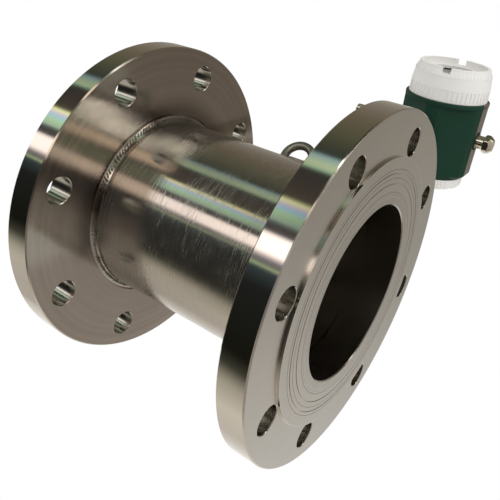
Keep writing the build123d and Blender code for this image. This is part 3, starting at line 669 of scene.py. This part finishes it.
@dataclass(frozen=True)
class BeadMetal(Finish):
    """Weld metal, straw and brown where the heat has tinted it, with painted shade on some angles round
    the pipe, off the rippled stretch and between the ripples.
    """

    patch_roughness: float = 0.1
    warm: Colour = (0.42, 0.33, 0.24)
    warm_range: Range = (0.5, 0.75)
    warm_share: float = 0.7
    # Dark colour and the angles round the pipe, in degrees, where it is laid: painted shade
    bead_painted_shade: Colour = (0.085, 0.065, 0.052)
    bead_painted_shade_ranges: tuple[Range, ...] = ((100.0, 200.0), (-200.0, -176.0), (-114.0, -98.0))
    bead_painted_shade_edge: float = 12.0
    bead_painted_shade_share: float = 0.5
    dull_roughness: float = 0.2
    rippled: Band = (-170.0, -106.0, 10.0)
    # Darkening of the bead off the rippled stretch: painted shade
    smooth_painted_shade: float = 0.5
    smooth_roughness: float = 0.14
    corner: Range = (88 * MM, 79.5 * MM)
    crest: Range = (3.2 * MM, 4.6 * MM)
    # Darkening in the valleys between the ripples: painted shade
    valley_painted_shade: float = 0.55
    grain_depth: float = 0.04 * MM

    def surface(self, bench: ShaderBench) -> Surface:
        """Bright bead with a heat tint in patches, and painted shade on some angles round the pipe, off
        the rippled stretch and between the ripples.

        Args:
            bench: Bench of the finish's material.

        Returns:
            What the shader gets.
        """
        patch = bench.noise(bench.spot(), scale=55.0)
        grain = bench.noise(bench.spot(), scale=1500.0)
        along, across, up = bench.place(Line.PIPE)
        turn = up.angle_from(across) * (180 / math.pi)
        climb = (across * across + up * up).root() - abs(along) + (self.corner[0] - self.corner[1])
        rippled = turn.band(*self.rippled)
        smooth = 1 - rippled
        # The valleys between the ripples are darkened: painted shade
        valley = (1 - climb.ramp(*self.crest)) * rippled
        # Darker on the listed angles round the pipe: painted shade
        bead_painted_shade = sum(turn.band(low, high, self.bead_painted_shade_edge) for low, high in self.bead_painted_shade_ranges)
        warmth = patch.ramp(*self.warm_range) * self.warm_share
        colour = bench.blend(warmth, self.colour, self.warm)
        # Darker off the rippled stretch: painted shade
        colour = bench.tint(colour, 1 - self.smooth_painted_shade * smooth)
        colour = bench.blend(bead_painted_shade * self.bead_painted_shade_share + valley * self.valley_painted_shade, colour, self.bead_painted_shade)
        roughness = self.roughness + self.patch_roughness * patch
        roughness = roughness + self.dull_roughness * bead_painted_shade + self.smooth_roughness * smooth
        return Surface(colour, roughness, 1.0, grain, self.grain_depth)


PIPE_STEEL: Colour = (0.60, 0.575, 0.535)
FINISHES: dict[str, Finish] = {
    finish.slot: finish
    for finish in (
        CutSteel(
            "brushed_stainless", (0.47, 0.44, 0.40), 0.09, groove_depth=0.02 * MM, scratch=1.0,
            haze=0.12, bore_radius=77 * MM, heat_place=84.2 * MM,
        ),
        CutSteel(
            "turned_stainless", PIPE_STEEL, 0.13, scratch=0.1, turning=0.55, rim_radius=142.4 * MM,
            front_place=112 * MM, ring_radii=(81.5 * MM, 92.3 * MM, 99 * MM), hole_circle=120 * MM,
            step_radius=108 * MM, heat_radius=84.6 * MM,
        ),
        BrightMetal("polished_stainless", (0.30, 0.29, 0.26), 0.3, depth=0.002 * MM),
        BeadMetal("weld_metal", (0.86, 0.84, 0.78), 0.07),
        Moulded("graphite", (0.05, 0.05, 0.055), 0.6),
        BrightMetal("zinc_steel", (0.62, 0.63, 0.65), 0.25),
        CastPaint(
            "green_paint", (0.0075, 0.043, 0.026), 0.5, bare=(0.36, 0.33, 0.28), coat=0.0, ior=1.3
        ),
        CastPaint("white_paint", (0.83, 0.825, 0.805), 0.4, coat=0.05),
        BrightMetal("bare_aluminium", (0.62, 0.60, 0.57), 0.35),
        ClearGlass("window_glass", (0.93, 0.97, 0.95), 0.02),
        Moulded("seal_rubber", (0.018, 0.018, 0.018), 0.6),
        BoardMask("circuit_board", (0.015, 0.13, 0.05), 0.35),
        BrightMetal("nickel_brass", (0.72, 0.67, 0.56), 0.14),
        Moulded("dark_plastic", (0.03, 0.03, 0.034), 0.45),
        Moulded("lcd_face", (0.27, 0.33, 0.22), 0.25, grain=200.0, depth=0.0),
        Moulded("key_rubber", (0.09, 0.09, 0.10), 0.55),
        Moulded("terminal_plastic", (0.05, 0.06, 0.06), 0.5),
    )
}


class Wardrobe:
    """Makes each finish's material once and dresses pieces in it."""

    def __init__(self, finishes: dict[str, Finish]) -> None:
        """Makes all materials.

        Args:
            finishes: Finish for each material slot of the record.
        """
        self.materials = {slot: finish.material() for slot, finish in finishes.items()}

    def dress_nodes(self) -> None:
        """Gives every CAD node the material of its slot in the record."""
        for row in frame["record"]["subparts"]:
            node = frame["nodes"][row["node"]]
            node.data.materials.clear()
            node.data.materials.append(self.materials[row["material_slot"]])
            log.info("node %s wears %s", node.name, row["material_slot"])

    def finish_piece(self, piece: bpy.types.Object, body: str, slot: str) -> None:
        """Dresses a new piece and makes it ride on a body.

        Args:
            piece: The new object.
            body: Name of the body that it moves with.
            slot: Name of the record's material slot.
        """
        piece.data.materials.clear()
        piece.data.materials.append(self.materials[slot])
        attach(piece, body)
        log.info("piece %s rides on %s", piece.name, body)


class RippleTree:
    """Geometry nodes that lay overlapping weld ripples round a ring."""

    fade: float = 0.12
    segments: int = 10
    rings: int = 6

    def __init__(self) -> None:
        """Builds the tree with its named inputs."""
        self.tree = bpy.data.node_groups.new("weld_ripples", "GeometryNodeTree")
        face = self.tree.interface
        face.new_socket("Geometry", in_out="OUTPUT", socket_type="NodeSocketGeometry")
        self.inputs = {
            name: face.new_socket(name, in_out="INPUT", socket_type=kind).identifier
            for name, kind in (
                ("Ring Radius", "NodeSocketFloat"),
                ("Ripples", "NodeSocketInt"),
                ("Ripple Size", "NodeSocketVector"),
                ("Tilt", "NodeSocketFloat"),
                ("Skew", "NodeSocketFloat"),
                ("Swing", "NodeSocketVector"),
                ("Unevenness", "NodeSocketFloat"),
                ("Bold From", "NodeSocketFloat"),
                ("Bold To", "NodeSocketFloat"),
                ("Faint Share", "NodeSocketFloat"),
                ("Seed", "NodeSocketInt"),
                ("Material", "NodeSocketMaterial"),
            )
        }
        self._lay()

    def _node(self, kind: str, settings: dict[str, Any], links: dict) -> bpy.types.Node:
        """Adds a node.

        Args:
            kind: Type of the node.
            settings: Properties of the node, which are set first.
            links: Socket to link or value to set for each input, by name or by number.

        Returns:
            The node.
        """
        node = self.tree.nodes.new(kind)
        for name, value in settings.items():
            setattr(node, name, value)
        for name, value in links.items():
            if isinstance(value, bpy.types.NodeSocket):
                self.tree.links.new(value, node.inputs[name])
            else:
                node.inputs[name].default_value = value
        return node

    def _vector_math(self, operation: str, *values: Any) -> bpy.types.NodeSocket:
        """Output of a Vector Math node."""
        node = self._node("ShaderNodeVectorMath", {"operation": operation}, dict(enumerate(values)))
        return node.outputs[0]

    def _math(self, operation: str, *values: Any) -> bpy.types.NodeSocket:
        """Output of a Math node."""
        return self._node("ShaderNodeMath", {"operation": operation}, dict(enumerate(values))).outputs[0]

    def _lay(self) -> None:
        """Lays ripples on the points of a ring, bold on one stretch and faint on the rest."""
        given = self._node("NodeGroupInput", {}, {}).outputs
        place = self._node("GeometryNodeInputPosition", {}, {}).outputs[0]
        sizes = {"Vertices": given["Ripples"], "Radius": given["Ring Radius"]}
        ring = self._node("GeometryNodeMeshCircle", {}, sizes)
        share = self._share(given, place)
        scale = self._node("ShaderNodeCombineXYZ", {}, {0: share, 1: share, 2: 1.0})
        laid = self._node(
            "GeometryNodeInstanceOnPoints",
            {},
            {
                "Points": ring.outputs[0],
                "Instance": self._ripple(given),
                "Rotation": self._facing(given, place),
                "Scale": scale.outputs[0],
            },
        )
        real = self._node("GeometryNodeRealizeInstances", {}, {"Geometry": laid.outputs[0]})
        dress = {"Geometry": real.outputs[0], "Material": given["Material"]}
        dressed = self._node("GeometryNodeSetMaterial", {}, dress)
        self._node("NodeGroupOutput", {}, {0: dressed.outputs[0]})

    def _ripple(self, given: Any) -> bpy.types.NodeSocket:
        """One ball of unit width, flattened to the ripple's size and leant over.

        Args:
            given: Sockets of the tree's inputs.

        Returns:
            The ripple's geometry.
        """
        counts = {"Segments": self.segments, "Rings": self.rings, "Radius": 0.5}
        ball = self._node("GeometryNodeMeshUVSphere", {}, counts)
        sizes = {"Geometry": ball.outputs[0], "Scale": given["Ripple Size"]}
        flat = self._node("GeometryNodeTransform", {}, sizes)
        lean = self._node("ShaderNodeCombineXYZ", {}, {0: given["Skew"], 2: given["Tilt"]})
        turn = {"Geometry": flat.outputs[0], "Rotation": lean.outputs[0]}
        return self._node("GeometryNodeTransform", {}, turn).outputs[0]

    def _facing(self, given: Any, place: bpy.types.NodeSocket) -> bpy.types.NodeSocket:
        """Turn that lays a ripple along the ring, with a swing of its own.

        Args:
            given: Sockets of the tree's inputs.
            place: Place of the ripple's point.

        Returns:
            The ripple's rotation.
        """
        outward = self._vector_math("NORMALIZE", place)
        onward = self._vector_math("CROSS_PRODUCT", (0.0, 0.0, 1.0), outward)
        facing = self._node(
            "FunctionNodeAxesToRotation",
            {"primary_axis": "Z", "secondary_axis": "X"},
            {"Primary Axis": onward, "Secondary Axis": outward},
        )
        swing = self._node(
            "FunctionNodeRandomValue",
            {"data_type": "FLOAT_VECTOR"},
            {0: (0.0, 0.0, 0.0), 1: given["Swing"], "Seed": given["Seed"]},
        )
        turn = {"Rotation": facing.outputs[0], "Rotate By": swing.outputs[0]}
        return self._node("FunctionNodeRotateRotation", {"rotation_space": "LOCAL"}, turn).outputs[0]

    def _share(self, given: Any, place: bpy.types.NodeSocket) -> bpy.types.NodeSocket:
        """Share of its full size that a ripple has.

        Args:
            given: Sockets of the tree's inputs.
            place: Place of the ripple's point.

        Returns:
            1 at most on the bold stretch, and less on the rest.
        """
        parts = self._node("ShaderNodeSeparateXYZ", {}, {0: place}).outputs
        angle = self._math("ARCTAN2", parts[1], parts[0])
        middle = self._math("MULTIPLY", self._math("ADD", given["Bold From"], given["Bold To"]), 0.5)
        half = self._math("MULTIPLY", self._math("SUBTRACT", given["Bold To"], given["Bold From"]), 0.5)
        turn = self._math("SUBTRACT", angle, middle)
        wrapped = self._math("WRAP", turn, math.pi, -math.pi)
        away = self._math("SUBTRACT", self._math("ABSOLUTE", wrapped), half)
        edges = {"From Min": -self.fade, "From Max": self.fade}
        shares = {"To Min": 1.0, "To Max": given["Faint Share"]}
        fade = self._node("ShaderNodeMapRange", {}, {"Value": away, **edges, **shares})
        chance = self._node(
            "FunctionNodeRandomValue",
            {"data_type": "FLOAT"},
            {2: self._math("SUBTRACT", 1.0, given["Unevenness"]), 3: 1.0, "Seed": given["Seed"]},
        )
        return self._math("MULTIPLY", fade.outputs[0], chance.outputs[1])

    def make(self, name: str, values: dict[str, Any], place: Matrix) -> bpy.types.Object:
        """Runs the tree and keeps its result as a plain mesh.

        Args:
            name: Name of the new piece.
            values: Value for each named input.
            place: Where the ring goes.

        Returns:
            The finished object, at the origin.
        """
        carrier = bpy.data.objects.new(name + "_ring", bpy.data.meshes.new(name + "_ring"))
        bpy.context.scene.collection.objects.link(carrier)
        modifier = carrier.modifiers.new("ripples", "NODES")
        modifier.node_group = self.tree
        for key, value in values.items():
            modifier[self.inputs[key]] = value
        graph = bpy.context.evaluated_depsgraph_get()
        mesh = bpy.data.meshes.new_from_object(carrier.evaluated_get(graph))
        carrier.modifiers.remove(modifier)
        bpy.data.objects.remove(carrier)
        mesh.transform(place)
        mesh.name = name
        mesh.shade_smooth()
        piece = bpy.data.objects.new(name, mesh)
        bpy.context.scene.collection.objects.link(piece)
        return piece


# Turns a ring made about Z into one about X: its own X, Y and Z become Y, Z and X
ONTO_PIPE = Matrix(((0, 0, 1, 0), (1, 0, 0, 0), (0, 1, 0, 0), (0, 0, 0, 1)))


@dataclass(frozen=True)
class Bead:
    """Ring of ripples.

    The size of one goes out of the metal, across the bead and round the ring. The coarse stretch is
    given by its start and end angle.
    """

    size: tuple[float, float, float]
    seed: int
    bold: Range


@dataclass
class PipeSection:
    """Tube, flanges, lugs and neck, with the weld beads that join them."""

    wardrobe: Wardrobe
    ripples: RippleTree
    body: str = "pipe_section"
    slot: str = "weld_metal"
    tube_radius: float = 79.5 * MM
    weld_leg: float = 4.0 * MM
    weld_reach: float = 0.42
    ripple_pitch: float = 3.3 * MM
    fewest_ripples: int = 12
    skew: float = -0.6
    swing: tuple[float, float, float] = (0.5, 0.3, 0.4)
    unevenness: float = 0.45
    faint_share: float = 0.62
    inlet_bead: Bead = Bead((5.4 * MM, 6.2 * MM, 1.7 * MM), 4, (math.radians(-168), math.radians(-118)))
    outlet_bead: Bead = Bead((5.4 * MM, 6.2 * MM, 1.7 * MM), 2, (math.radians(60), math.radians(120)))
    neck_bead: Bead = Bead((1.4 * MM, 4.6 * MM, 1.5 * MM), 9, (-1.0, 1.0))
    neck_inset: float = 1.3 * MM
    lug_bead: Bead = Bead((1.6 * MM, 3.4 * MM, 2.0 * MM), 5, (0.0, 2.0))
    lug_ripples: int = 14
    lug_radius: float = 4.25 * MM
    lug_rise: float = 0.4 * MM
    lug_offset: float = 9.5 * MM
    lug_spread: float = 13.25 * MM
    lug_lean: float = math.radians(45)

    def build(self) -> None:
        """Makes the beads."""
        self._flange_bead(1, "inlet_weld", self.inlet_bead)
        self._flange_bead(-1, "outlet_weld", self.outlet_bead)
        self._neck_bead()
        self._lug_beads(self.lug_lean, "front_lug_welds")
        self._lug_beads(-self.lug_lean, "rear_lug_welds")

    def _values(self, bead: Bead, radius: float, tilt: float, ripples: int = 0) -> dict[str, Any]:
        """Inputs of the ripple tree for one ring.

        Args:
            bead: The ring's ripples.
            radius: Radius of the ring.
            tilt: Lean of the ripples, from the ring's plane.
            ripples: Number of ripples, or 0 for the usual pitch.

        Returns:
            Value for each named input.
        """
        usual = max(self.fewest_ripples, round(2 * math.pi * radius / self.ripple_pitch))
        return {
            "Ring Radius": radius,
            "Ripples": ripples or usual,
            "Ripple Size": bead.size,
            "Tilt": tilt,
            "Skew": self.skew,
            "Swing": self.swing,
            "Unevenness": self.unevenness,
            "Bold From": bead.bold[0],
            "Bold To": bead.bold[1],
            "Faint Share": self.faint_share,
            "Seed": bead.seed,
            "Material": self.wardrobe.materials[self.slot],
        }

    def _flange_bead(self, side: int, node: str, bead: Bead) -> None:
        """Ripples round one flange's fillet weld.

        Args:
            side: 1 where the bead's open side faces +X, -1 where it faces -X.
            node: CAD node of the plain weld.
            bead: The ring's ripples.
        """
        low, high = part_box(node)
        corner = low.x if side > 0 else high.x
        reach = self.weld_reach * self.weld_leg
        values = self._values(bead, self.tube_radius + reach, -side * math.pi / 4)
        place = Matrix.Translation((corner + side * reach, 0, 0)) @ ONTO_PIPE
        piece = self.ripples.make(node + "_ripples", values, place)
        self.wardrobe.finish_piece(piece, self.body, self.slot)

    def _neck_bead(self) -> None:
        """Ripples round the foot of the neck."""
        low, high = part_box("neck_weld")
        radius = (high.x - low.x) / 2 - (high.z - low.z) + self.neck_inset
        values = self._values(self.neck_bead, radius, -math.pi / 4)
        place = Matrix.Translation((0, 0, low.z + self.neck_inset))
        piece = self.ripples.make("neck_weld_ripples", values, place)
        self.wardrobe.finish_piece(piece, self.body, self.slot)

    def _lug_beads(self, lean: float, name: str) -> None:
        """Beads round the two feet of one lifting lug.

        Args:
            lean: Angle of the lug from the neck, about X.
            name: Name of the new piece.
        """
        values = self._values(self.lug_bead, self.lug_radius, -math.pi / 4, self.lug_ripples)
        pieces = []
        for foot in (-1, 1):
            spot = (self.lug_offset + foot * self.lug_spread, 0, self.tube_radius + self.lug_rise)
            upright = Matrix.Rotation(lean, 4, "X") @ Matrix.Translation(spot)
            pieces.append(self.ripples.make(name, values, upright))
        first, second = pieces
        bench = bmesh.new()
        bench.from_mesh(first.data)
        bench.from_mesh(second.data)
        bench.to_mesh(first.data)
        bench.free()
        bpy.data.objects.remove(second)
        self.wardrobe.finish_piece(first, self.body, self.slot)


class Segment(Enum):
    """The seven bars of a screen digit: middle, length direction and place."""

    TOP = ((0, 1), True)
    MIDDLE = ((0, 0), True)
    BOTTOM = ((0, -1), True)
    UPPER_LEFT = ((-0.5, 0.5), False)
    UPPER_RIGHT = ((0.5, 0.5), False)
    LOWER_LEFT = ((-0.5, -0.5), False)
    LOWER_RIGHT = ((0.5, -0.5), False)


DIGIT_BARS = {
    0: "TOP BOTTOM UPPER_LEFT UPPER_RIGHT LOWER_LEFT LOWER_RIGHT",
    1: "UPPER_RIGHT LOWER_RIGHT",
    2: "TOP MIDDLE BOTTOM UPPER_RIGHT LOWER_LEFT",
    5: "TOP MIDDLE BOTTOM UPPER_LEFT LOWER_RIGHT",
    8: "TOP MIDDLE BOTTOM UPPER_LEFT UPPER_RIGHT LOWER_LEFT LOWER_RIGHT",
}


@dataclass
class Screen:
    """Plain digits on the display's screen, read from the front with the neck down."""

    wardrobe: Wardrobe
    digits: tuple[int, ...] = (1, 2, 5, 0)
    lower_digits: tuple[int, ...] = (0, 0, 0, 8, 2, 5)
    lower_scale: float = 0.45
    row_heights: Range = (4.0 * MM, -6.8 * MM)
    digit_width: float = 5.2 * MM
    digit_height: float = 10.0 * MM
    digit_pitch: float = 1.55
    bar_width: float = 1.0 * MM
    bar_inset: float = 1.15
    thickness: float = 0.12 * MM
    lift: float = 0.02 * MM
    body: str = "transmitter_head"

    def build(self) -> None:
        """Makes all bars as one thin mesh on the screen's face."""
        low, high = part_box("lcd_panel")
        middle = (low + high) / 2
        bench = bmesh.new()
        rows = ((self.digits, 1.0), (self.lower_digits, self.lower_scale))
        for (digits, scale), height in zip(rows, self.row_heights):
            self._row(bench, digits, Vector((middle.x, low.y - self.lift, middle.z + height)), scale)
        mesh = bpy.data.meshes.new("screen_digits")
        bench.to_mesh(mesh)
        bench.free()
        piece = bpy.data.objects.new("screen_digits", mesh)
        bpy.context.scene.collection.objects.link(piece)
        self.wardrobe.finish_piece(piece, self.body, "dark_plastic")

    def _row(
        self, bench: bmesh.types.BMesh, digits: tuple[int, ...], centre: Vector, scale: float
    ) -> None:
        """Adds one row of digits.

        Args:
            bench: Mesh under construction.
            digits: Numbers from left to right.
            centre: Middle of the row.
            scale: Size of the digits against the driving sizes.
        """
        pitch = self.digit_width * scale * self.digit_pitch
        for index, digit in enumerate(digits):
            shift = (index - (len(digits) - 1) / 2) * pitch
            for name in DIGIT_BARS[digit].split():
                (across, up), level = Segment[name].value
                spot = centre + Vector((
                    shift + across * self.digit_width * scale,
                    0,
                    up * self.digit_height * scale / 2,
                ))
                self._bar(bench, spot, level, scale)

    def _bar(self, bench: bmesh.types.BMesh, spot: Vector, level: bool, scale: float) -> None:
        """Adds one six-cornered bar.

        Args:
            bench: Mesh under construction.
            spot: Middle of the bar's back.
            level: Whether the bar lies level, or else stands upright.
            scale: Size of the digits against the driving sizes.
        """
        width = self.bar_width * scale
        length = (self.digit_width if level else self.digit_height / 2) * scale - width * self.bar_inset
        outline = (
            (-length / 2 - width / 2, 0), (-length / 2, width / 2), (length / 2, width / 2),
            (length / 2 + width / 2, 0), (length / 2, -width / 2), (-length / 2, -width / 2),
        )
        back = []
        for across, up in outline:
            x, z = (across, up) if level else (up, across)
            back.append(bench.verts.new(spot + Vector((x, 0, z))))
        if not level:
            back.reverse()
        face = bench.faces.new(back)
        raised = bmesh.ops.extrude_face_region(bench, geom=[face])["geom"]
        corners = [part for part in raised if isinstance(part, bmesh.types.BMVert)]
        bmesh.ops.translate(bench, vec=(0, -self.thickness, 0), verts=corners)
        bmesh.ops.recalc_face_normals(bench, faces=bench.faces)


@dataclass(frozen=True)
class Glow:
    """Light that comes from one direction round the pipe, seen end on from the outlet."""

    angle: float
    colour: Colour


@dataclass(frozen=True)
class Trim:
    """Change of the upstream panels' strength over a band of angles.

    It holds for directions that lean far upstream, or else for the others.
    """

    band: Band
    change: float
    far: bool = True


@dataclass(frozen=True)
class Lamp:
    """Large soft lamp."""

    name: str
    place: tuple[float, float, float]
    size: float
    power: float


@dataclass
class Studio:
    """Floor, surrounding light and camera.

    The steel mirrors two rows of long soft panels. Both lie round the pipe, one upstream and one
    downstream, and each panel is given by the angle at which it stands.
    """

    floor_height: float = -0.45
    floor_half: float = 6.0
    floor_colour: Colour = (0.80, 0.80, 0.79)
    camera_place: tuple[float, float, float] = (0.24414, -0.23703, -0.35857)
    camera_aim: tuple[float, float, float] = (0.01985, -0.03027, -0.00102)
    camera_roll: float = math.radians(62.37)
    camera_reach: Range = (0.01, 50.0)
    sensor: float = 36.0
    lens: float = 41.71
    shift: Range = (-0.024, -0.068)
    lamp_aim: tuple[float, float, float] = (0.0, 0.0, 0.25)
    lamps: tuple[Lamp, ...] = (
        Lamp("key_lamp", (1.3, -1.3, 0.1), 1.4, 8.0),
        Lamp("top_lamp", (-0.4, -0.3, 2.2), 1.6, 14.0),
    )
    upstream: tuple[Glow, ...] = (
        Glow(0, (0.76, 0.70, 0.62)),
        Glow(30, (0.96, 0.94, 0.90)),
        Glow(60, (0.49, 0.475, 0.43)),
        Glow(90, (0.34, 0.305, 0.26)),
        Glow(130, (0.20, 0.165, 0.115)),
        Glow(150, (0.13, 0.13, 0.08)),
        Glow(169, (0.05, 0.06, 0.045)),
        Glow(171, (0.42, 0.62, 0.66)),
        Glow(175, (0.62, 0.82, 0.58)),
        Glow(178, (0.80, 0.88, 0.52)),
        Glow(180, (0.45, 0.70, 0.48)),
        Glow(182, (0.05, 0.045, 0.042)),
        Glow(203, (0.085, 0.068, 0.055)),
        Glow(205, (0.72, 0.76, 0.38)),
        Glow(207.5, (0.50, 0.40, 0.46)),
        Glow(209.5, (0.28, 0.44, 0.62)),
        Glow(213, (0.32, 0.50, 0.28)),
        Glow(218, (0.26, 0.34, 0.28)),
        Glow(221, (0.07, 0.06, 0.065)),
        Glow(225, (0.10, 0.09, 0.095)),
        Glow(227, (1.9, 1.7, 1.6)),
        Glow(237, (1.9, 1.7, 1.6)),
        Glow(240, (0.34, 0.30, 0.33)),
        Glow(243, (0.12, 0.12, 0.13)),
        Glow(244.5, (0.66, 0.80, 0.46)),
        Glow(246, (0.05, 0.07, 0.08)),
        Glow(256, (0.02, 0.022, 0.02)),
        Glow(300, (0.012, 0.012, 0.008)),
        Glow(309, (0.07, 0.07, 0.05)),
        Glow(320, (0.56, 0.52, 0.42)),
        Glow(338, (0.90, 0.83, 0.72)),
    )
    downstream: tuple[Glow, ...] = (
        Glow(0, (0.30, 0.26, 0.22)),
        Glow(42, (0.34, 0.29, 0.25)),
        Glow(70, (0.18, 0.145, 0.115)),
        Glow(100, (0.11, 0.09, 0.07)),
        Glow(142, (0.05, 0.04, 0.03)),
        Glow(150, (0.10, 0.10, 0.08)),
        Glow(156, (0.50, 0.56, 0.42)),
        Glow(166, (0.42, 0.46, 0.34)),
        Glow(171, (0.14, 0.13, 0.11)),
        Glow(181, (0.20, 0.19, 0.16)),
        Glow(184, (1.3, 1.04, 0.80)),
        Glow(194, (1.3, 1.04, 0.80)),
        Glow(199, (0.14, 0.13, 0.12)),
        Glow(205, (0.24, 0.26, 0.18)),
        Glow(217, (0.28, 0.30, 0.20)),
        Glow(221, (0.12, 0.11, 0.10)),
        Glow(226, (1.5, 1.25, 1.05)),
        Glow(237, (1.5, 1.25, 1.05)),
        Glow(242, (0.06, 0.05, 0.045)),
        Glow(264, (0.07, 0.06, 0.052)),
        Glow(286, (0.20, 0.17, 0.15)),
        Glow(302, (0.36, 0.32, 0.28)),
        Glow(340, (0.42, 0.37, 0.33)),
    )
    downstream_from: Range = (0.36, 0.56)
    far_range: Range = (-0.6, -0.35)
    trims: tuple[Trim, ...] = (
        Trim((204, 218, 1.0), 1.2),
        Trim((171, 178, 2.0), -0.35),
        Trim((228, 236, 2.0), 0.3, far=False),
        Trim((330, 360, 12.0), -0.25),
    )
    low_shift: float = 8.0
    low_band: Band = (280, 340, 20.0)
    askew: float = 950.0
    askew_centre: float = 0.72
    askew_band: Band = (142, 168, 8.0)
    askew_limits: Band = (110, 174, 8.0)
    askew_from: Range = (0.66, 0.69)
    askew_colour: Colour = (4.0, 3.7, 3.4)
    weld_band: Band = (146, 168, 5.0)
    weld_reach: Band = (0.36, 0.57, 0.03)
    weld_share: float = 0.8
    room_from: Range = (0.82, 0.95)
    room_heights: Range = (-0.9, 0.9)
    room_low: Colour = (0.46, 0.44, 0.42)
    room_high: Colour = (0.40, 0.385, 0.36)
    even_light: Colour = (0.80, 0.79, 0.77)
    backdrop: Colour = (1.0, 1.0, 1.0)

    def build(self) -> None:
        """Builds the floor, the light and the camera."""
        self._floor()
        self._surround()
        self._lamps()
        self._camera()

    def _floor(self) -> None:
        """Pale floor well below the meter, which reflections and light pass through."""
        bench = bmesh.new()
        bmesh.ops.create_grid(bench, x_segments=1, y_segments=1, size=self.floor_half)
        bmesh.ops.translate(bench, vec=(0, 0, self.floor_height), verts=bench.verts)
        mesh = bpy.data.meshes.new("floor")
        bench.to_mesh(mesh)
        bench.free()
        floor = bpy.data.objects.new("floor", mesh)
        bpy.context.scene.collection.objects.link(floor)
        paint = Moulded("pale_floor", self.floor_colour, 0.7, grain=30.0, depth=0.0).material()
        mesh.materials.append(paint)
        floor.visible_glossy = False
        floor.visible_diffuse = False
        floor.visible_shadow = False

    def _surround(self) -> None:
        """World light, which depends on the direction alone."""
        scene = bpy.context.scene
        scene.world = bpy.data.worlds.new("studio")
        scene.world.use_nodes = True
        bench = ShaderBench(scene.world.node_tree)
        x, y, z = bench.split(bench.add("ShaderNodeTexCoord", {}, {}, "Generated"))
        turn = z.angle_from(y) / (2 * math.pi)
        turn = turn + (turn < 0.0)
        panels = bench.blend(
            x.ramp(*self.downstream_from),
            self._upstream(bench, x, turn),
            self._downstream(bench, x, turn),
        )
        room = bench.blend(z.ramp(*self.room_heights), self.room_low, self.room_high)
        mirrored = bench.blend(abs(x).ramp(*self.room_from), panels, room)
        matt = bench.add("ShaderNodeLightPath", {}, {}, "Is Diffuse Ray")
        light = bench.blend(matt, mirrored, self.even_light)
        seen = bench.add("ShaderNodeLightPath", {}, {}, "Is Camera Ray")
        shown = bench.blend(seen, light, self.backdrop)
        sky = bench.add("ShaderNodeBackground", {}, {"Color": shown, "Strength": 1.0})
        bench.add("ShaderNodeOutputWorld", {}, {"Surface": sky})

    def _upstream(self, bench: ShaderBench, x: Wire, turn: Wire) -> Wire:
        """Light of the panels upstream, trimmed here and there.

        Args:
            bench: Bench of the world's tree.
            x: Part of the direction along the pipe.
            turn: Direction round the pipe, from 0 to 1.

        Returns:
            The light's colour.
        """
        far, degrees = 1 - x.ramp(*self.far_range), turn * 360
        strength = 1.0
        for trim in self.trims:
            where = far if trim.far else 1 - far
            strength = strength + degrees.band(*trim.band) * where * trim.change
        shifted = turn + degrees.band(*self.low_band) * far * (self.low_shift / 360)
        return bench.tint(self._panels(bench, shifted, self.upstream), strength)

    def _downstream(self, bench: ShaderBench, x: Wire, turn: Wire) -> Wire:
        """Light of the panels downstream, with the bright one that hangs askew.

        Args:
            bench: Bench of the world's tree.
            x: Part of the direction along the pipe.
            turn: Direction round the pipe, from 0 to 1.

        Returns:
            The light's colour.
        """
        degrees = turn * 360
        slanted = degrees + (x - self.askew_centre) * self.askew
        bright = slanted.band(*self.askew_band) * degrees.band(*self.askew_limits)
        bright = bright * x.ramp(*self.askew_from)
        bright = bright + degrees.band(*self.weld_band) * x.band(*self.weld_reach) * self.weld_share
        return bench.blend(bright, self._panels(bench, turn, self.downstream), self.askew_colour)

    def _panels(self, bench: ShaderBench, turn: Wire, glows: tuple[Glow, ...]) -> Wire:
        """Light of one row of panels.

        Args:
            bench: Bench of the world's tree.
            turn: Direction round the pipe, from 0 to 1.
            glows: The panels, by angle.

        Returns:
            The light's colour.
        """
        stops = [(glow.angle / 360, glow.colour) for glow in glows]
        stops.append((1.0, glows[0].colour))
        return bench.add("ShaderNodeValToRGB", {"stops": stops}, {0: turn})

    def _lamps(self) -> None:
        """Lamps, which only light painted and matt pieces."""
        for lamp in self.lamps:
            data = bpy.data.lights.new(lamp.name, "AREA")
            data.size = lamp.size
            data.energy = lamp.power
            carrier = bpy.data.objects.new(lamp.name, data)
            carrier.location = lamp.place
            aim = Vector(self.lamp_aim) - Vector(lamp.place)
            carrier.rotation_euler = aim.to_track_quat("-Z", "Y").to_euler()
            carrier.visible_glossy = False
            carrier.visible_camera = False
            bpy.context.scene.collection.objects.link(carrier)

    def _camera(self) -> None:
        """Camera at the photograph's place, rolled so that the neck lies to the right."""
        data = bpy.data.cameras.new("camera")
        data.lens = self.lens
        data.sensor_width = self.sensor
        data.shift_x, data.shift_y = self.shift
        data.clip_start, data.clip_end = self.camera_reach
        camera = bpy.data.objects.new("camera", data)
        place, aim = Vector(self.camera_place), Vector(self.camera_aim)
        level = (aim - place).to_track_quat("-Z", "Y")
        camera.rotation_mode = "QUATERNION"
        camera.rotation_quaternion = level @ Quaternion((0, 0, 1), self.camera_roll)
        camera.location = place
        bpy.context.scene.collection.objects.link(camera)
        bpy.context.scene.camera = camera


def main() -> None:
    """Dresses the frame, adds the missing pieces and sets the studio."""
    logging.basicConfig(level=logging.INFO, format="%(name)s: %(message)s")
    wardrobe = Wardrobe(FINISHES)
    wardrobe.dress_nodes()
    PipeSection(wardrobe, RippleTree()).build()
    Screen(wardrobe).build()
    Studio().build()
    bpy.context.scene.view_settings.view_transform = "Standard"


if __name__ == "__main__":
    main()
